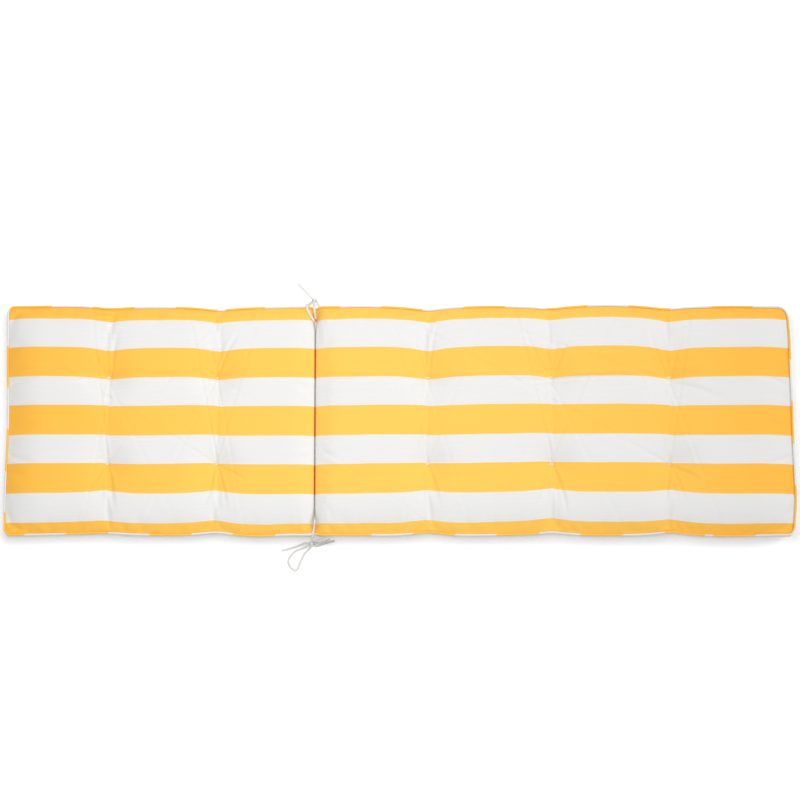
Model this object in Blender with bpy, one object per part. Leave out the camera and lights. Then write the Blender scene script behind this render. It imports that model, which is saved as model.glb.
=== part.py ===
"""A garden cushion for a sun lounger: a short pad and a long one in a single striped cover, sewn through
at the hinge between them and at ten tufts, with striped piping round the top edge and white tape ties
at both ends of the hinge.

Metres, +Z up. +X runs along the cushion from the short pad to the long one, and -Y is the near side,
where the bow lies. The origin is on the floor under the middle of the cushion.
"""

import math

import bmesh
import bpy
from mathutils import Vector

# Cover, seam to seam
LENGTH = 1.990
WIDTH = 0.584
SEAM_HEIGHT = 0.050
CORNER_RADIUS = 0.014
LOOSE_CORNER_RADIUS = 0.024

# Filling: how far it lifts the top above the seam, and how far in from the seam that takes
CROWN = 0.018
CROWN_REACH = 0.090
CROWN_STEEPNESS = 0.8

# Tufts: five columns of two, sewn through the filling
TUFT_COLUMNS = (-0.741, -0.464, 0.070, 0.383, 0.683)
TUFT_ROWS = (-0.113, 0.110)
TUFT_DEPTH = 0.019
TUFT_REACH = 0.026
TUFT_VALLEY = 0.004
TUFT_VALLEY_WIDTH = 0.034
TUFT_DRAW = 0.007
TUFT_DRAW_WIDTH = 0.034
BACK_DIMPLE = 0.007
BACK_DIMPLE_REACH = 0.045

# Hinge: a channel sewn right across, with a thin web of cloth left between its two grooves
HINGE = -0.2157
WEB_TOP = 0.032
WEB_BOTTOM = 0.022
TOP_SHOULDER = 0.017
BACK_SHOULDER = 0.014
GROOVE_RUN_OUT = 0.016
GROOVE_MOUTH = 0.0065
GROOVE_MOUTH_LENGTH = 0.060
HINGE_DRAW = 0.007
HINGE_DRAW_WIDTH = 0.014
HINGE_DIP = 0.012
HINGE_DIP_WIDTH = 0.012

# Piping
PIPING_RADIUS = 0.0025
PIPING_CLEARANCE = 0.00045
PIPING_SIDES_STEP = 1

# Ties
TIE_RADIUS = 0.0025
TIE_STEP = 0.008
TIE_SIDES_STEP = 2
KNOT_CLEARANCE = 0.0006
KNOT_WAIST = 0.12
KNOT_WAIST_WIDTH = 0.3
KNOT_SEGMENTS = 12
KNOT_RINGS = 8

HALF_LENGTH = LENGTH / 2
HALF_WIDTH = WIDTH / 2

# The side band: share of the seam's height, and how far it stands outside the seam line there
BAND_PROFILE = (
    (0.00, -0.0090),
    (0.12, -0.0025),
    (0.40, 0.0032),
    (0.70, 0.0034),
    (1.00, 0.0000),
)

# The two ends aren't straight: place across the cushion, and how far each end stands out there
END_SHIFTS = (
    (-HALF_WIDTH, 0.000, -0.003),
    (-0.200, 0.001, 0.003),
    (0.000, -0.003, -0.001),
    (0.200, 0.002, -0.004),
    (HALF_WIDTH, 0.003, -0.008),
)

# How quickly each change of the outline fades from the seam towards the middle: the power of the distance
INSET_FADE = 7
SHIFT_FADE = 8
DRAW_FADE = 3

# Lines on the flat cover, as distances from the edge, from a tuft or from the hinge
EDGE_LINES = (0.0, 0.005, 0.011, 0.018, 0.034, 0.060)
TUFT_LINES = (0.0, 0.010, 0.024, 0.048)
ROW_LINES = (0.0, 0.011, 0.028)
HINGE_LINES = (0.0, 0.0015, 0.0045, 0.010, 0.019, 0.034)
WIDEST_COLUMN = 0.062
WIDEST_ROW = 0.048
CLOSEST_LINES = 0.001
SAME_SHARE = 0.0001
SAME_PLANE = 0.0000001


# Cloth and tape colours


def cloth_material(name, colour, roughness):
    """A plain cloth finish."""
    material = bpy.data.materials.new(name)
    material.use_nodes = True
    shader = material.node_tree.nodes["Principled BSDF"]
    shader.inputs["Base Color"].default_value = (*colour, 1.0)
    shader.inputs["Roughness"].default_value = roughness
    shader.inputs["Metallic"].default_value = 0.0
    material.diffuse_color = (*colour, 1.0)
    return material


# Form of the filled cover


def bell(distance, width):
    """One at no distance, fading to nothing a couple of widths away."""
    return math.exp(-((distance / width) ** 2))


def rise(distance, reach):
    """Nothing at the seam and one from reach inwards, steepest at the seam."""
    return math.sin(math.pi / 2 * min(1.0, max(0.0, distance) / reach)) ** CROWN_STEEPNESS


def shoulder(distance, width):
    """One in the bottom of a groove and nothing past its rounded shoulder."""
    if abs(distance) >= width:
        return 0.0
    return 1.0 - math.sqrt(1.0 - (1.0 - abs(distance) / width) ** 2)


def end_shift(x, y):
    """How far the end of the cushion that x is at stands out, across from one side to the other."""
    side = 1 if x < 0 else 2
    for lower, upper in zip(END_SHIFTS, END_SHIFTS[1:]):
        if y <= upper[0]:
            share = (y - lower[0]) / (upper[0] - lower[0])
            eased = 0.5 - 0.5 * math.cos(math.pi * min(1.0, max(0.0, share)))
            return lower[side] + (upper[side] - lower[side]) * eased
    return END_SHIFTS[-1][side]


def draw_in(x):
    """How far the long sides are pulled in at x, by the tufts and by the hinge."""
    pull = HINGE_DRAW * bell(x - HINGE, HINGE_DRAW_WIDTH)
    for column in TUFT_COLUMNS:
        pull += TUFT_DRAW * bell(x - column, TUFT_DRAW_WIDTH)
    return pull


def plan_place(x, y, inset):
    """Where a point of the flat rectangle lies in plan, on a section that is inset from the seam line."""
    along = x / HALF_LENGTH
    across = y / HALF_WIDTH
    x -= inset * along**INSET_FADE
    y -= inset * across**INSET_FADE
    radius = LOOSE_CORNER_RADIUS if x > 0 and y > 0 else CORNER_RADIUS
    over_x = abs(x) - (HALF_LENGTH - inset - radius)
    over_y = abs(y) - (HALF_WIDTH - inset - radius)
    if over_x > 0 and over_y > 0:
        x -= math.copysign(over_x * (1 - math.sqrt(1 - (over_y / radius) ** 2 / 2)), x)
        y -= math.copysign(over_y * (1 - math.sqrt(1 - (over_x / radius) ** 2 / 2)), y)
    y -= draw_in(x) * across**DRAW_FADE
    x += math.copysign(along**SHIFT_FADE, x) * end_shift(x, y)
    return x, y


def seam_height(x):
    """Height of the piped seam, which dips where the hinge pinches it."""
    return SEAM_HEIGHT - HINGE_DIP * bell(x - HINGE, HINGE_DIP_WIDTH)


def top_height(x, y):
    """Height of the top cover over a point of the flat rectangle."""
    from_side = HALF_WIDTH - abs(y)
    from_end = HALF_LENGTH - abs(x)
    filled = rise(from_side, CROWN_REACH) * rise(from_end, CROWN_REACH)
    height = CROWN * filled
    for column in TUFT_COLUMNS:
        height -= TUFT_VALLEY * bell(x - column, TUFT_VALLEY_WIDTH) * filled
        for row in TUFT_ROWS:
            away = math.hypot(x - column, y - row)
            height -= (TUFT_DEPTH - TUFT_VALLEY) * math.exp(-away / TUFT_REACH)
    height += seam_height(x)
    mouth = GROOVE_MOUTH * max(0.0, 1.0 - from_side / GROOVE_MOUTH_LENGTH)
    past_mouth = max(0.0, abs(x - HINGE) - mouth)
    groove = shoulder(past_mouth, TOP_SHOULDER) * min(1.0, from_side / GROOVE_RUN_OUT)
    return height + (WEB_TOP - height) * groove


def back_height(x, y):
    """Height of the underside, flat but for the tufts and the hinge."""
    height = 0.0
    for column in TUFT_COLUMNS:
        for row in TUFT_ROWS:
            away = math.hypot(x - column, y - row) / BACK_DIMPLE_REACH
            if away < 1.0:
                height += BACK_DIMPLE * (1.0 - away) ** 2
    return height + (WEB_BOTTOM - height) * shoulder(x - HINGE, BACK_SHOULDER)


def band_outset(share):
    """How far the side band stands outside the seam line at a share of its height."""
    return next(outset for level, outset in BAND_PROFILE if abs(level - share) < SAME_SHARE)


def filled_place(x, y, share):
    """A point of the cover: share is 1 on the top, 0 on the underside, and between them on the side band."""
    place = plan_place(x, y, -band_outset(share))
    if share > 1.0 - SAME_SHARE:
        height = top_height(x, y)
    elif share < SAME_SHARE:
        height = back_height(x, y)
    else:
        low = back_height(x, y)
        height = low + (seam_height(x) - low) * share
    return Vector((*place, height))


def lines(half, near_edge, near_features, widest):
    """Places of the lines across the flat cover, close where its form changes and no wider than widest."""
    wanted = [side * (half - distance) for side in (-1, 1) for distance in near_edge]
    for feature, distances in near_features:
        wanted += [feature + side * distance for side in (-1, 1) for distance in distances]
    placed = []
    for place in sorted(wanted):
        if not placed or place - placed[-1] > CLOSEST_LINES:
            placed.append(place)
    filled = placed[:1]
    for place in placed[1:]:
        gap = place - filled[-1]
        steps = math.ceil(gap / widest)
        filled += [filled[-1] + gap * step / steps for step in range(1, steps)] + [place]
    return filled


def columns_and_rows():
    """Places of the lines across the length and across the width of the flat cover."""
    columns = lines(
        HALF_LENGTH,
        EDGE_LINES,
        [(HINGE, HINGE_LINES)] + [(column, TUFT_LINES) for column in TUFT_COLUMNS],
        WIDEST_COLUMN,
    )
    rows = lines(HALF_WIDTH, EDGE_LINES, [(row, ROW_LINES) for row in TUFT_ROWS], WIDEST_ROW)
    return columns, rows


def cut(mesh, place, axis):
    """Cuts the whole block along a plane, so that it has a line of points there."""
    normal = Vector((0.0, 0.0, 0.0))
    normal[axis] = 1.0
    everything = mesh.verts[:] + mesh.edges[:] + mesh.faces[:]
    bmesh.ops.bisect_plane(
        mesh, geom=everything, dist=SAME_PLANE, plane_co=normal * place, plane_no=normal
    )


def make_cushion(collection, material):
    """The filled cover: a flat block cut into columns, rows and bands, and then moved to its filled form."""
    columns, rows = columns_and_rows()
    mesh = bmesh.new()
    bmesh.ops.create_cube(mesh, size=1.0)
    bmesh.ops.translate(mesh, verts=mesh.verts[:], vec=(0.0, 0.0, 0.5))
    bmesh.ops.scale(mesh, verts=mesh.verts[:], vec=(LENGTH, WIDTH, 1.0))
    for column in columns[1:-1]:
        cut(mesh, column, 0)
    for row in rows[1:-1]:
        cut(mesh, row, 1)
    for share, _ in BAND_PROFILE[1:-1]:
        cut(mesh, share, 2)
    for vertex in mesh.verts:
        vertex.co = filled_place(*vertex.co)
    for face in mesh.faces:
        face.smooth = True
    return add_mesh("cushion", mesh, collection, material)


def add_mesh(name, mesh, collection, material):
    """Puts a finished bmesh in the collection as a named object."""
    data = bpy.data.meshes.new(name)
    mesh.to_mesh(data)
    mesh.free()
    data.materials.append(material)
    thing = bpy.data.objects.new(name, data)
    collection.objects.link(thing)
    return thing


# Tubes


def add_tube(name, points, radius, sides_step, closed, collection, material):
    """A round cord through the points, as a curve with a bevel."""
    curve = bpy.data.curves.new(name, "CURVE")
    curve.dimensions = "3D"
    curve.bevel_depth = radius
    curve.bevel_resolution = sides_step
    curve.use_fill_caps = not closed
    spline = curve.splines.new("POLY")
    spline.points.add(len(points) - 1)
    for target, point in zip(spline.points, points):
        target.co = (*point, 1.0)
    spline.use_cyclic_u = closed
    curve.materials.append(material)
    thing = bpy.data.objects.new(name, curve)
    collection.objects.link(thing)
    return thing


def seam_points():
    """The piped seam as points of the cover's top edge, anticlockwise from the near left corner."""
    columns, rows = columns_and_rows()
    near = [(column, -HALF_WIDTH) for column in columns[:-1]]
    right = [(HALF_LENGTH, row) for row in rows[:-1]]
    far = [(column, HALF_WIDTH) for column in reversed(columns[1:])]
    left = [(-HALF_LENGTH, row) for row in reversed(rows[1:])]
    return [filled_place(x, y, 1.0) for x, y in near + right + far + left]


def make_piping(collection, material):
    """A piped cord along the whole top edge, just outside the seam and above it."""
    seam = seam_points()
    away = (PIPING_RADIUS + PIPING_CLEARANCE) / math.sqrt(2)
    cord = []
    for index, point in enumerate(seam):
        before = seam[index - 1]
        after = seam[(index + 1) % len(seam)]
        outwards = Vector((after.y - before.y, before.x - after.x, 0.0)).normalized()
        cord.append(point + outwards * away + Vector((0.0, 0.0, away)))
    return add_tube("piping", cord, PIPING_RADIUS, PIPING_SIDES_STEP, True, collection, material)


# Knots: middle, and half their size along each axis
KNOTS = {
    "knot_near": ((-0.2235, -0.3100, 0.0130), (0.0085, 0.0065, 0.0075)),
    "knot_far": ((-0.2200, 0.3200, 0.0080), (0.0065, 0.0055, 0.0060)),
}

# Ties: the knot that each starts from, its middle line, and the knot that it ends at
TIES = {
    "tie_near_root": (
        None,
        (
            (-0.2160, -0.2620, 0.0385),
            (-0.2168, -0.2730, 0.0405),
            (-0.2180, -0.2835, 0.0465),
            (-0.2192, -0.2915, 0.0480),
            (-0.2205, -0.2985, 0.0420),
            (-0.2222, -0.3045, 0.0290),
        ),
        "knot_near",
    ),
    "tie_near_tail_left": (
        "knot_near",
        (
            (-0.2400, -0.3085, 0.0105),
            (-0.2534, -0.3132, 0.0040),
            (-0.2674, -0.3183, 0.0027),
            (-0.2839, -0.3232, 0.0027),
            (-0.2990, -0.3268, 0.0027),
        ),
        None,
    ),
    "tie_near_loop_left": (
        "knot_near",
        (
            (-0.2400, -0.3178, 0.0078),
            (-0.2510, -0.3225, 0.0035),
            (-0.2643, -0.3275, 0.0027),
            (-0.2767, -0.3402, 0.0027),
            (-0.2829, -0.3529, 0.0027),
            (-0.2808, -0.3634, 0.0027),
            (-0.2734, -0.3731, 0.0027),
            (-0.2653, -0.3772, 0.0027),
            (-0.2592, -0.3731, 0.0027),
            (-0.2515, -0.3550, 0.0027),
            (-0.2442, -0.3381, 0.0027),
            (-0.2372, -0.3290, 0.0030),
            (-0.2305, -0.3232, 0.0060),
        ),
        "knot_near",
    ),
    "tie_near_loop_right": (
        "knot_near",
        (
            (-0.2080, -0.3040, 0.0240),
            (-0.1950, -0.3012, 0.0380),
            (-0.1855, -0.3005, 0.0490),
            (-0.1800, -0.3022, 0.0465),
            (-0.1822, -0.3045, 0.0360),
            (-0.1930, -0.3065, 0.0220),
            (-0.2080, -0.3095, 0.0125),
        ),
        "knot_near",
    ),
    "tie_near_tail_right": (
        "knot_near",
        (
            (-0.2110, -0.3158, 0.0050),
            (-0.1980, -0.3110, 0.0028),
            (-0.1830, -0.3062, 0.0027),
            (-0.1653, -0.3020, 0.0027),
        ),
        None,
    ),
    "tie_far_arm_left": (
        None,
        (
            (-0.2180, 0.2555, 0.0445),
            (-0.2225, 0.2620, 0.0510),
            (-0.2290, 0.2720, 0.0555),
            (-0.2350, 0.2840, 0.0562),
            (-0.2378, 0.2925, 0.0583),
            (-0.2386, 0.2995, 0.0540),
            (-0.2380, 0.3015, 0.0430),
            (-0.2360, 0.3020, 0.0280),
            (-0.2300, 0.3120, 0.0130),
        ),
        "knot_far",
    ),
    "tie_far_arm_middle": (
        None,
        (
            (-0.2155, 0.2640, 0.0385),
            (-0.2165, 0.2740, 0.0405),
            (-0.2180, 0.2835, 0.0465),
            (-0.2188, 0.2915, 0.0480),
            (-0.2195, 0.2985, 0.0420),
            (-0.2203, 0.3110, 0.0225),
        ),
        "knot_far",
    ),
    "tie_far_arm_right": (
        None,
        (
            (-0.2045, 0.2948, 0.0360),
            (-0.2060, 0.2985, 0.0285),
            (-0.2090, 0.3065, 0.0185),
            (-0.2125, 0.3145, 0.0125),
        ),
        "knot_far",
    ),
    "tie_far_tail": (
        "knot_far",
        (
            (-0.2300, 0.3305, 0.0036),
            (-0.2417, 0.3437, 0.0027),
            (-0.2520, 0.3543, 0.0027),
            (-0.2624, 0.3648, 0.0027),
        ),
        None,
    ),
}


def between(before, start, end, after, share):
    """A point of the smooth curve that passes through start and end."""
    tangent_start = (end - before) / 2
    tangent_end = (after - start) / 2
    square = share * share
    cube = square * share
    return (
        start * (2 * cube - 3 * square + 1)
        + tangent_start * (cube - 2 * square + share)
        + end * (3 * square - 2 * cube)
        + tangent_end * (cube - square)
    )


def knot_waist(along):
    """How much narrower a knot is at a share of its half length."""
    return 1.0 - KNOT_WAIST * bell(along, KNOT_WAIST_WIDTH)


def knot_side(knot, towards):
    """The point just off a knot's surface, on the side that a tape leaves towards."""
    centre, size = KNOTS[knot]
    outwards = (Vector(towards) - Vector(centre)).normalized()
    round_reach = 1.0 / math.sqrt(sum((way / half) ** 2 for way, half in zip(outwards, size)))
    waist = knot_waist(outwards.x * round_reach / size[0])
    waisted = (size[0], size[1] * waist, size[2] * waist)
    reach = 1.0 / math.sqrt(sum((way / half) ** 2 for way, half in zip(outwards, waisted)))
    return Vector(centre) + outwards * (reach + KNOT_CLEARANCE)


def smooth_route(start_knot, route, end_knot, step):
    """Points about a step apart, on a smooth curve through the route, from knot to knot where it has them."""
    stops = [Vector(point) for point in route]
    if start_knot:
        stops.insert(0, knot_side(start_knot, route[0]))
    if end_knot:
        stops.append(knot_side(end_knot, route[-1]))
    points = [stops[0]]
    for index in range(len(stops) - 1):
        before = stops[max(0, index - 1)]
        after = stops[min(len(stops) - 1, index + 2)]
        parts = max(1, round((stops[index + 1] - stops[index]).length / step))
        for part in range(1, parts + 1):
            points.append(between(before, stops[index], stops[index + 1], after, part / parts))
    return points


def make_knot(name, centre, size, collection, material):
    """A tied knot, as a small rounded lump with a waist round it."""
    mesh = bmesh.new()
    bmesh.ops.create_uvsphere(mesh, u_segments=KNOT_SEGMENTS, v_segments=KNOT_RINGS, radius=1.0)
    for vertex in mesh.verts:
        waist = knot_waist(vertex.co.x)
        vertex.co = Vector((vertex.co.x, vertex.co.y * waist, vertex.co.z * waist))
    for face in mesh.faces:
        face.smooth = True
    bmesh.ops.scale(mesh, verts=mesh.verts[:], vec=size)
    bmesh.ops.translate(mesh, verts=mesh.verts[:], vec=centre)
    return add_mesh(name, mesh, collection, material)


def make_ties(collection, material):
    """The tapes at both ends of the hinge, and the knots that they are tied in."""
    for name, (centre, size) in KNOTS.items():
        make_knot(name, centre, size, collection, material)
    for name, (start_knot, route, end_knot) in TIES.items():
        points = smooth_route(start_knot, route, end_knot, TIE_STEP)
        add_tube(name, points, TIE_RADIUS, TIE_SIDES_STEP, False, collection, material)


def main():
    """Clears the scene and builds every piece."""
    for thing in list(bpy.data.objects):
        bpy.data.objects.remove(thing, do_unlink=True)
    collection = bpy.data.collections.new("garden_cushion")
    bpy.context.scene.collection.children.link(collection)
    striped_cloth = cloth_material("striped_cloth", (0.95, 0.62, 0.17), 0.85)
    bias_cloth = cloth_material("bias_cloth", (0.93, 0.58, 0.14), 0.80)
    white_tape = cloth_material("white_tape", (0.86, 0.85, 0.83), 0.75)
    make_cushion(collection, striped_cloth)
    make_piping(collection, bias_cloth)
    make_ties(collection, white_tape)


main()
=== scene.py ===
# %% [markdown]
# # A striped cushion for a sun lounger
#
# This scene dresses the plain solids of a garden cushion. The real thing is two filled pads in one
# cotton cover, sewn through between them so that it can fold. Threads pull the filling together at ten
# tufts, a piped cord runs round the top edge, and white tapes at both ends of the sewn hinge hold the
# cushion on its lounger. All lengths are in metres, the cushion lies along X, and -Y is the near side.

# %% The frame
import math

import bpy
import numpy as np
from mathutils import Matrix, Vector, kdtree, noise


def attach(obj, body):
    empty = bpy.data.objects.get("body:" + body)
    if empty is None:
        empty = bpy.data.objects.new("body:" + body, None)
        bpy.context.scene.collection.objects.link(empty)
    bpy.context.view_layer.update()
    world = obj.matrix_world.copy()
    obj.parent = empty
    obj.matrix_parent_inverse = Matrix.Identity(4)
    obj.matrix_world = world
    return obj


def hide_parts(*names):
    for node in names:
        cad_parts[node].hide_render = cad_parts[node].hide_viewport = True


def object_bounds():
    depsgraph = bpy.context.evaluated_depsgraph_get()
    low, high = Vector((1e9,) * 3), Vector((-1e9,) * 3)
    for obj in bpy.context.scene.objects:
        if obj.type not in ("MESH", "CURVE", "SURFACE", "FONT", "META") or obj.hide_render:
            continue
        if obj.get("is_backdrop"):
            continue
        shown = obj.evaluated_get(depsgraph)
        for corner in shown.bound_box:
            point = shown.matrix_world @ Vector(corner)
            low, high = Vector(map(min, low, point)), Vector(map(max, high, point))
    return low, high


UP = Vector((0.0, 0.0, 1.0))


def new_object(name, data):
    """A new object in the scene that shows this data."""
    made = bpy.data.objects.new(name, data)
    bpy.context.scene.collection.objects.link(made)
    return made


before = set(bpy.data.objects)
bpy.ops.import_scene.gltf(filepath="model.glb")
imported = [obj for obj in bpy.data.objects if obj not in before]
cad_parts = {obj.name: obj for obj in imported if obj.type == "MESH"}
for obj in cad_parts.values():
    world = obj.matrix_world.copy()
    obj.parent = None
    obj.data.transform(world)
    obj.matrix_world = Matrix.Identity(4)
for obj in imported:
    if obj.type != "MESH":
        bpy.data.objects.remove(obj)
cad_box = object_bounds()
print("nodes:", ", ".join(sorted(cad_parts)))

# %% [markdown]
# ## The camera
#
# The cushion is seen from almost straight above, with the near side at the bottom of the picture. A long
# lens from eight metres away keeps its two long sides nearly parallel, as a catalogue picture has them.
# The lens is worked out from how many pixels one metre covers, and no shift is needed.

# %% The camera
ELEVATION = math.radians(80)
DISTANCE = 8.0
FOCAL_PIXELS = 3145.0
PICTURE_PIXELS = 800.0
MIDDLE_BELOW_CENTRE_PIXELS = 21.6
MIDDLE = Vector((0.0, 0.0, 0.03))

towards = Vector((0.0, math.cos(ELEVATION), -math.sin(ELEVATION)))
picture_up = Vector((0.0, math.sin(ELEVATION), math.cos(ELEVATION)))
aim = towards + picture_up * (MIDDLE_BELOW_CENTRE_PIXELS / FOCAL_PIXELS)
camera_data = bpy.data.cameras.new("camera")
camera_data.lens = camera_data.sensor_width * FOCAL_PIXELS / PICTURE_PIXELS
camera = new_object("camera", camera_data)
camera.location = MIDDLE - towards * DISTANCE
camera.rotation_euler = aim.to_track_quat("-Z", "Y").to_euler()
bpy.context.scene.camera = camera
bpy.context.scene.view_settings.view_transform = "Standard"
print(f"camera {camera.location.z:.2f} m up, lens {camera_data.lens:.0f} mm")

# %% [markdown]
# ## Sizes of the cover
#
# The cover is cut flat and then filled, so each point of it has two places: one on the flat cloth, where
# the stripes were woven, and one on the filled cushion. The sizes below shape the second from the first.
# Most are those of the solid frame, while the channel's shoulders and the long sides are cut finer here.

# %% Sizes of the cover
HALF_LENGTH = 0.995
HALF_WIDTH = 0.292
SEAM_HEIGHT = 0.050
CORNER_RADIUS = 0.014
LOOSE_CORNER_RADIUS = 0.024
CROWN = 0.018
CROWN_REACH = 0.090
CROWN_STEEPNESS = 0.8

# Tufts in pairs: the place of each pair along the cushion, and how far it pulls the long sides in
TUFT_PAIRS = (
    (-0.741, 0.0050),
    (-0.464, 0.0090),
    (0.070, 0.0100),
    (0.383, 0.0090),
    (0.683, 0.0090),
)
TUFT_COLUMNS = tuple(column for column, _ in TUFT_PAIRS)
TUFT_ROWS = (-0.113, 0.110)
TUFTS = tuple((column, row) for column in TUFT_COLUMNS for row in TUFT_ROWS)
TUFT_DEPTH = 0.019
TUFT_REACH = 0.026
TUFT_VALLEY = 0.004
TUFT_VALLEY_WIDTH = 0.034
TUFT_DRAW_WIDTH = 0.050
BACK_DIMPLE = 0.007
BACK_DIMPLE_REACH = 0.045

HINGE = -0.2157
WEB_TOP = 0.032
WEB_BOTTOM = 0.022
TOP_SHOULDER = 0.0030
MOUTH_SHOULDER = 0.017
MOUTH_SHOULDER_START = 0.045
MOUTH_SHOULDER_END = 0.026
BACK_SHOULDER = 0.014
GROOVE_RUN_OUT = 0.016
GROOVE_MOUTH = 0.0065
GROOVE_MOUTH_LENGTH = 0.060
HINGE_DRAW = 0.004
HINGE_DRAW_WIDTH = 0.009
HINGE_DIP = 0.012
HINGE_DIP_WIDTH = 0.012

# The side band: share of the seam's height, and how far it stands outside the seam line there
BAND_PROFILE = (
    (0.00, -0.0090),
    (0.12, -0.0025),
    (0.25, 0.0014),
    (0.40, 0.0032),
    (0.55, 0.0037),
    (0.70, 0.0034),
    (0.86, 0.0020),
    (1.00, 0.0000),
)

# The two ends aren't straight: place across the cushion, and how far each end stands out there
END_SHIFTS = (
    (-HALF_WIDTH, 0.000, -0.003),
    (-0.200, 0.001, 0.003),
    (0.000, -0.003, -0.001),
    (0.200, 0.002, -0.004),
    (HALF_WIDTH, 0.003, -0.008),
)

# Nor are the long sides: place along the cushion, and how far the far and the near side stand out there
SIDE_SHIFTS = (
    (-HALF_LENGTH, -0.0005, 0.0000),
    (-0.820, 0.0022, -0.0020),
    (-0.720, -0.0005, 0.0000),
    (-0.500, -0.0005, 0.0022),
    (-0.360, -0.0015, 0.0040),
    (-0.270, 0.0000, 0.0000),
    (-0.170, 0.0000, 0.0000),
    (-0.110, 0.0020, 0.0005),
    (0.000, 0.0010, 0.0028),
    (0.120, 0.0010, 0.0034),
    (0.280, 0.0020, 0.0010),
    (0.400, 0.0038, 0.0025),
    (0.530, 0.0050, 0.0018),
    (0.660, 0.0030, 0.0020),
    (0.800, 0.0010, 0.0030),
    (HALF_LENGTH, -0.0005, 0.0000),
)
INSET_FADE = 7
SHIFT_FADE = 8
DRAW_FADE = 3

# Shares of the seam's height past which a point belongs to the top or to the underside
TOP_SHARE = 0.999
BACK_SHARE = 0.001
EDGE_MARGIN = 0.0001
print(f"cover {2 * HALF_LENGTH:.2f} by {2 * HALF_WIDTH:.2f} m, {len(TUFTS)} tufts")

# %% [markdown]
# ## From flat cloth to filled cushion
#
# Four ideas make the form: the filling rises quickly from the seam and then levels out, each tuft is a
# dimple that is steepest at its thread, each pair of tufts also pulls a shallow valley across the whole
# width, and the hinge is a groove whose two shoulders roll down into it. Small functions keep each idea
# apart, so that one of them can be changed without touching the rest.

# %% From flat cloth to filled cushion


def bell(distance, width):
    """One at no distance, fading to nothing a couple of widths away."""
    return math.exp(-((distance / width) ** 2))


def pull_near(distance, width):
    """One at no distance, a half one width away and then a long tail, as pulled cloth has."""
    return 1.0 / (1.0 + (distance / width) ** 2)


def rise(distance, reach):
    """Nothing at the seam and one from reach inwards, steepest at the seam."""
    return math.sin(math.pi / 2 * min(1.0, max(0.0, distance) / reach)) ** CROWN_STEEPNESS


def shoulder(distance, width):
    """One in the bottom of a groove and nothing past its rounded shoulder."""
    if abs(distance) >= width:
        return 0.0
    return 1.0 - math.sqrt(1.0 - (1.0 - abs(distance) / width) ** 2)


def looked_up(rows, place, column):
    """A value from a table whose rows start with a place, eased from row to row."""
    for lower, upper in zip(rows, rows[1:]):
        if place <= upper[0]:
            share = (place - lower[0]) / (upper[0] - lower[0])
            eased = 0.5 - 0.5 * math.cos(math.pi * min(1.0, max(0.0, share)))
            return lower[column] + (upper[column] - lower[column]) * eased
    return rows[-1][column]


def end_shift(x, y):
    """How far the end of the cushion that x is at stands out, across from one side to the other."""
    return looked_up(END_SHIFTS, y, 1 if x < 0 else 2)


def side_shift(x, y):
    """How far the long side that y is at stands out, along the cushion."""
    return looked_up(SIDE_SHIFTS, x, 1 if y > 0 else 2)


def draw_in(x):
    """How far the long sides are pulled in at x, by the tufts and by the hinge."""
    pull = HINGE_DRAW * bell(x - HINGE, HINGE_DRAW_WIDTH)
    for column, draw in TUFT_PAIRS:
        pull += draw * pull_near(x - column, TUFT_DRAW_WIDTH)
    return pull


def plan_place(x, y, inset):
    """Where a point of the flat rectangle lies in plan, on a section that is inset from the seam line."""
    along = x / HALF_LENGTH
    across = y / HALF_WIDTH
    x -= inset * along**INSET_FADE
    y -= inset * across**INSET_FADE
    radius = LOOSE_CORNER_RADIUS if x > 0 and y > 0 else CORNER_RADIUS
    over_x = min(radius, abs(x) - (HALF_LENGTH - inset - radius))
    over_y = min(radius, abs(y) - (HALF_WIDTH - inset - radius))
    if over_x > 0 and over_y > 0:
        x -= math.copysign(over_x * (1 - math.sqrt(1 - (over_y / radius) ** 2 / 2)), x)
        y -= math.copysign(over_y * (1 - math.sqrt(1 - (over_x / radius) ** 2 / 2)), y)
    y -= (draw_in(x) - side_shift(x, y)) * across**DRAW_FADE
    x += math.copysign(along**SHIFT_FADE, x) * end_shift(x, y)
    return x, y


def seam_height(x):
    """Height of the piped seam, which dips where the hinge pinches it."""
    return SEAM_HEIGHT - HINGE_DIP * bell(x - HINGE, HINGE_DIP_WIDTH)


def top_height(x, y):
    """Height of the top cover over a point of the flat rectangle."""
    from_side = HALF_WIDTH - abs(y)
    from_end = HALF_LENGTH - abs(x)
    filled = rise(from_side, CROWN_REACH) * rise(from_end, CROWN_REACH)
    height = CROWN * filled
    for column in TUFT_COLUMNS:
        height -= TUFT_VALLEY * bell(x - column, TUFT_VALLEY_WIDTH) * filled
        for row in TUFT_ROWS:
            away = math.hypot(x - column, y - row)
            height -= (TUFT_DEPTH - TUFT_VALLEY) * math.exp(-away / TUFT_REACH)
    height += seam_height(x)
    mouth = GROOVE_MOUTH * max(0.0, 1.0 - from_side / GROOVE_MOUTH_LENGTH)
    past_mouth = max(0.0, abs(x - HINGE) - mouth)
    opened = (MOUTH_SHOULDER_START - from_side) / (MOUTH_SHOULDER_START - MOUTH_SHOULDER_END)
    width = TOP_SHOULDER + (MOUTH_SHOULDER - TOP_SHOULDER) * min(1.0, max(0.0, opened))
    groove = shoulder(past_mouth, width) * min(1.0, from_side / GROOVE_RUN_OUT)
    return height + (WEB_TOP - height) * groove


def back_height(x, y):
    """Height of the underside, flat but for the tufts and the hinge."""
    height = 0.0
    for column, row in TUFTS:
        away = math.hypot(x - column, y - row) / BACK_DIMPLE_REACH
        if away < 1.0:
            height += BACK_DIMPLE * (1.0 - away) ** 2
    return height + (WEB_BOTTOM - height) * shoulder(x - HINGE, BACK_SHOULDER)


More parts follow.
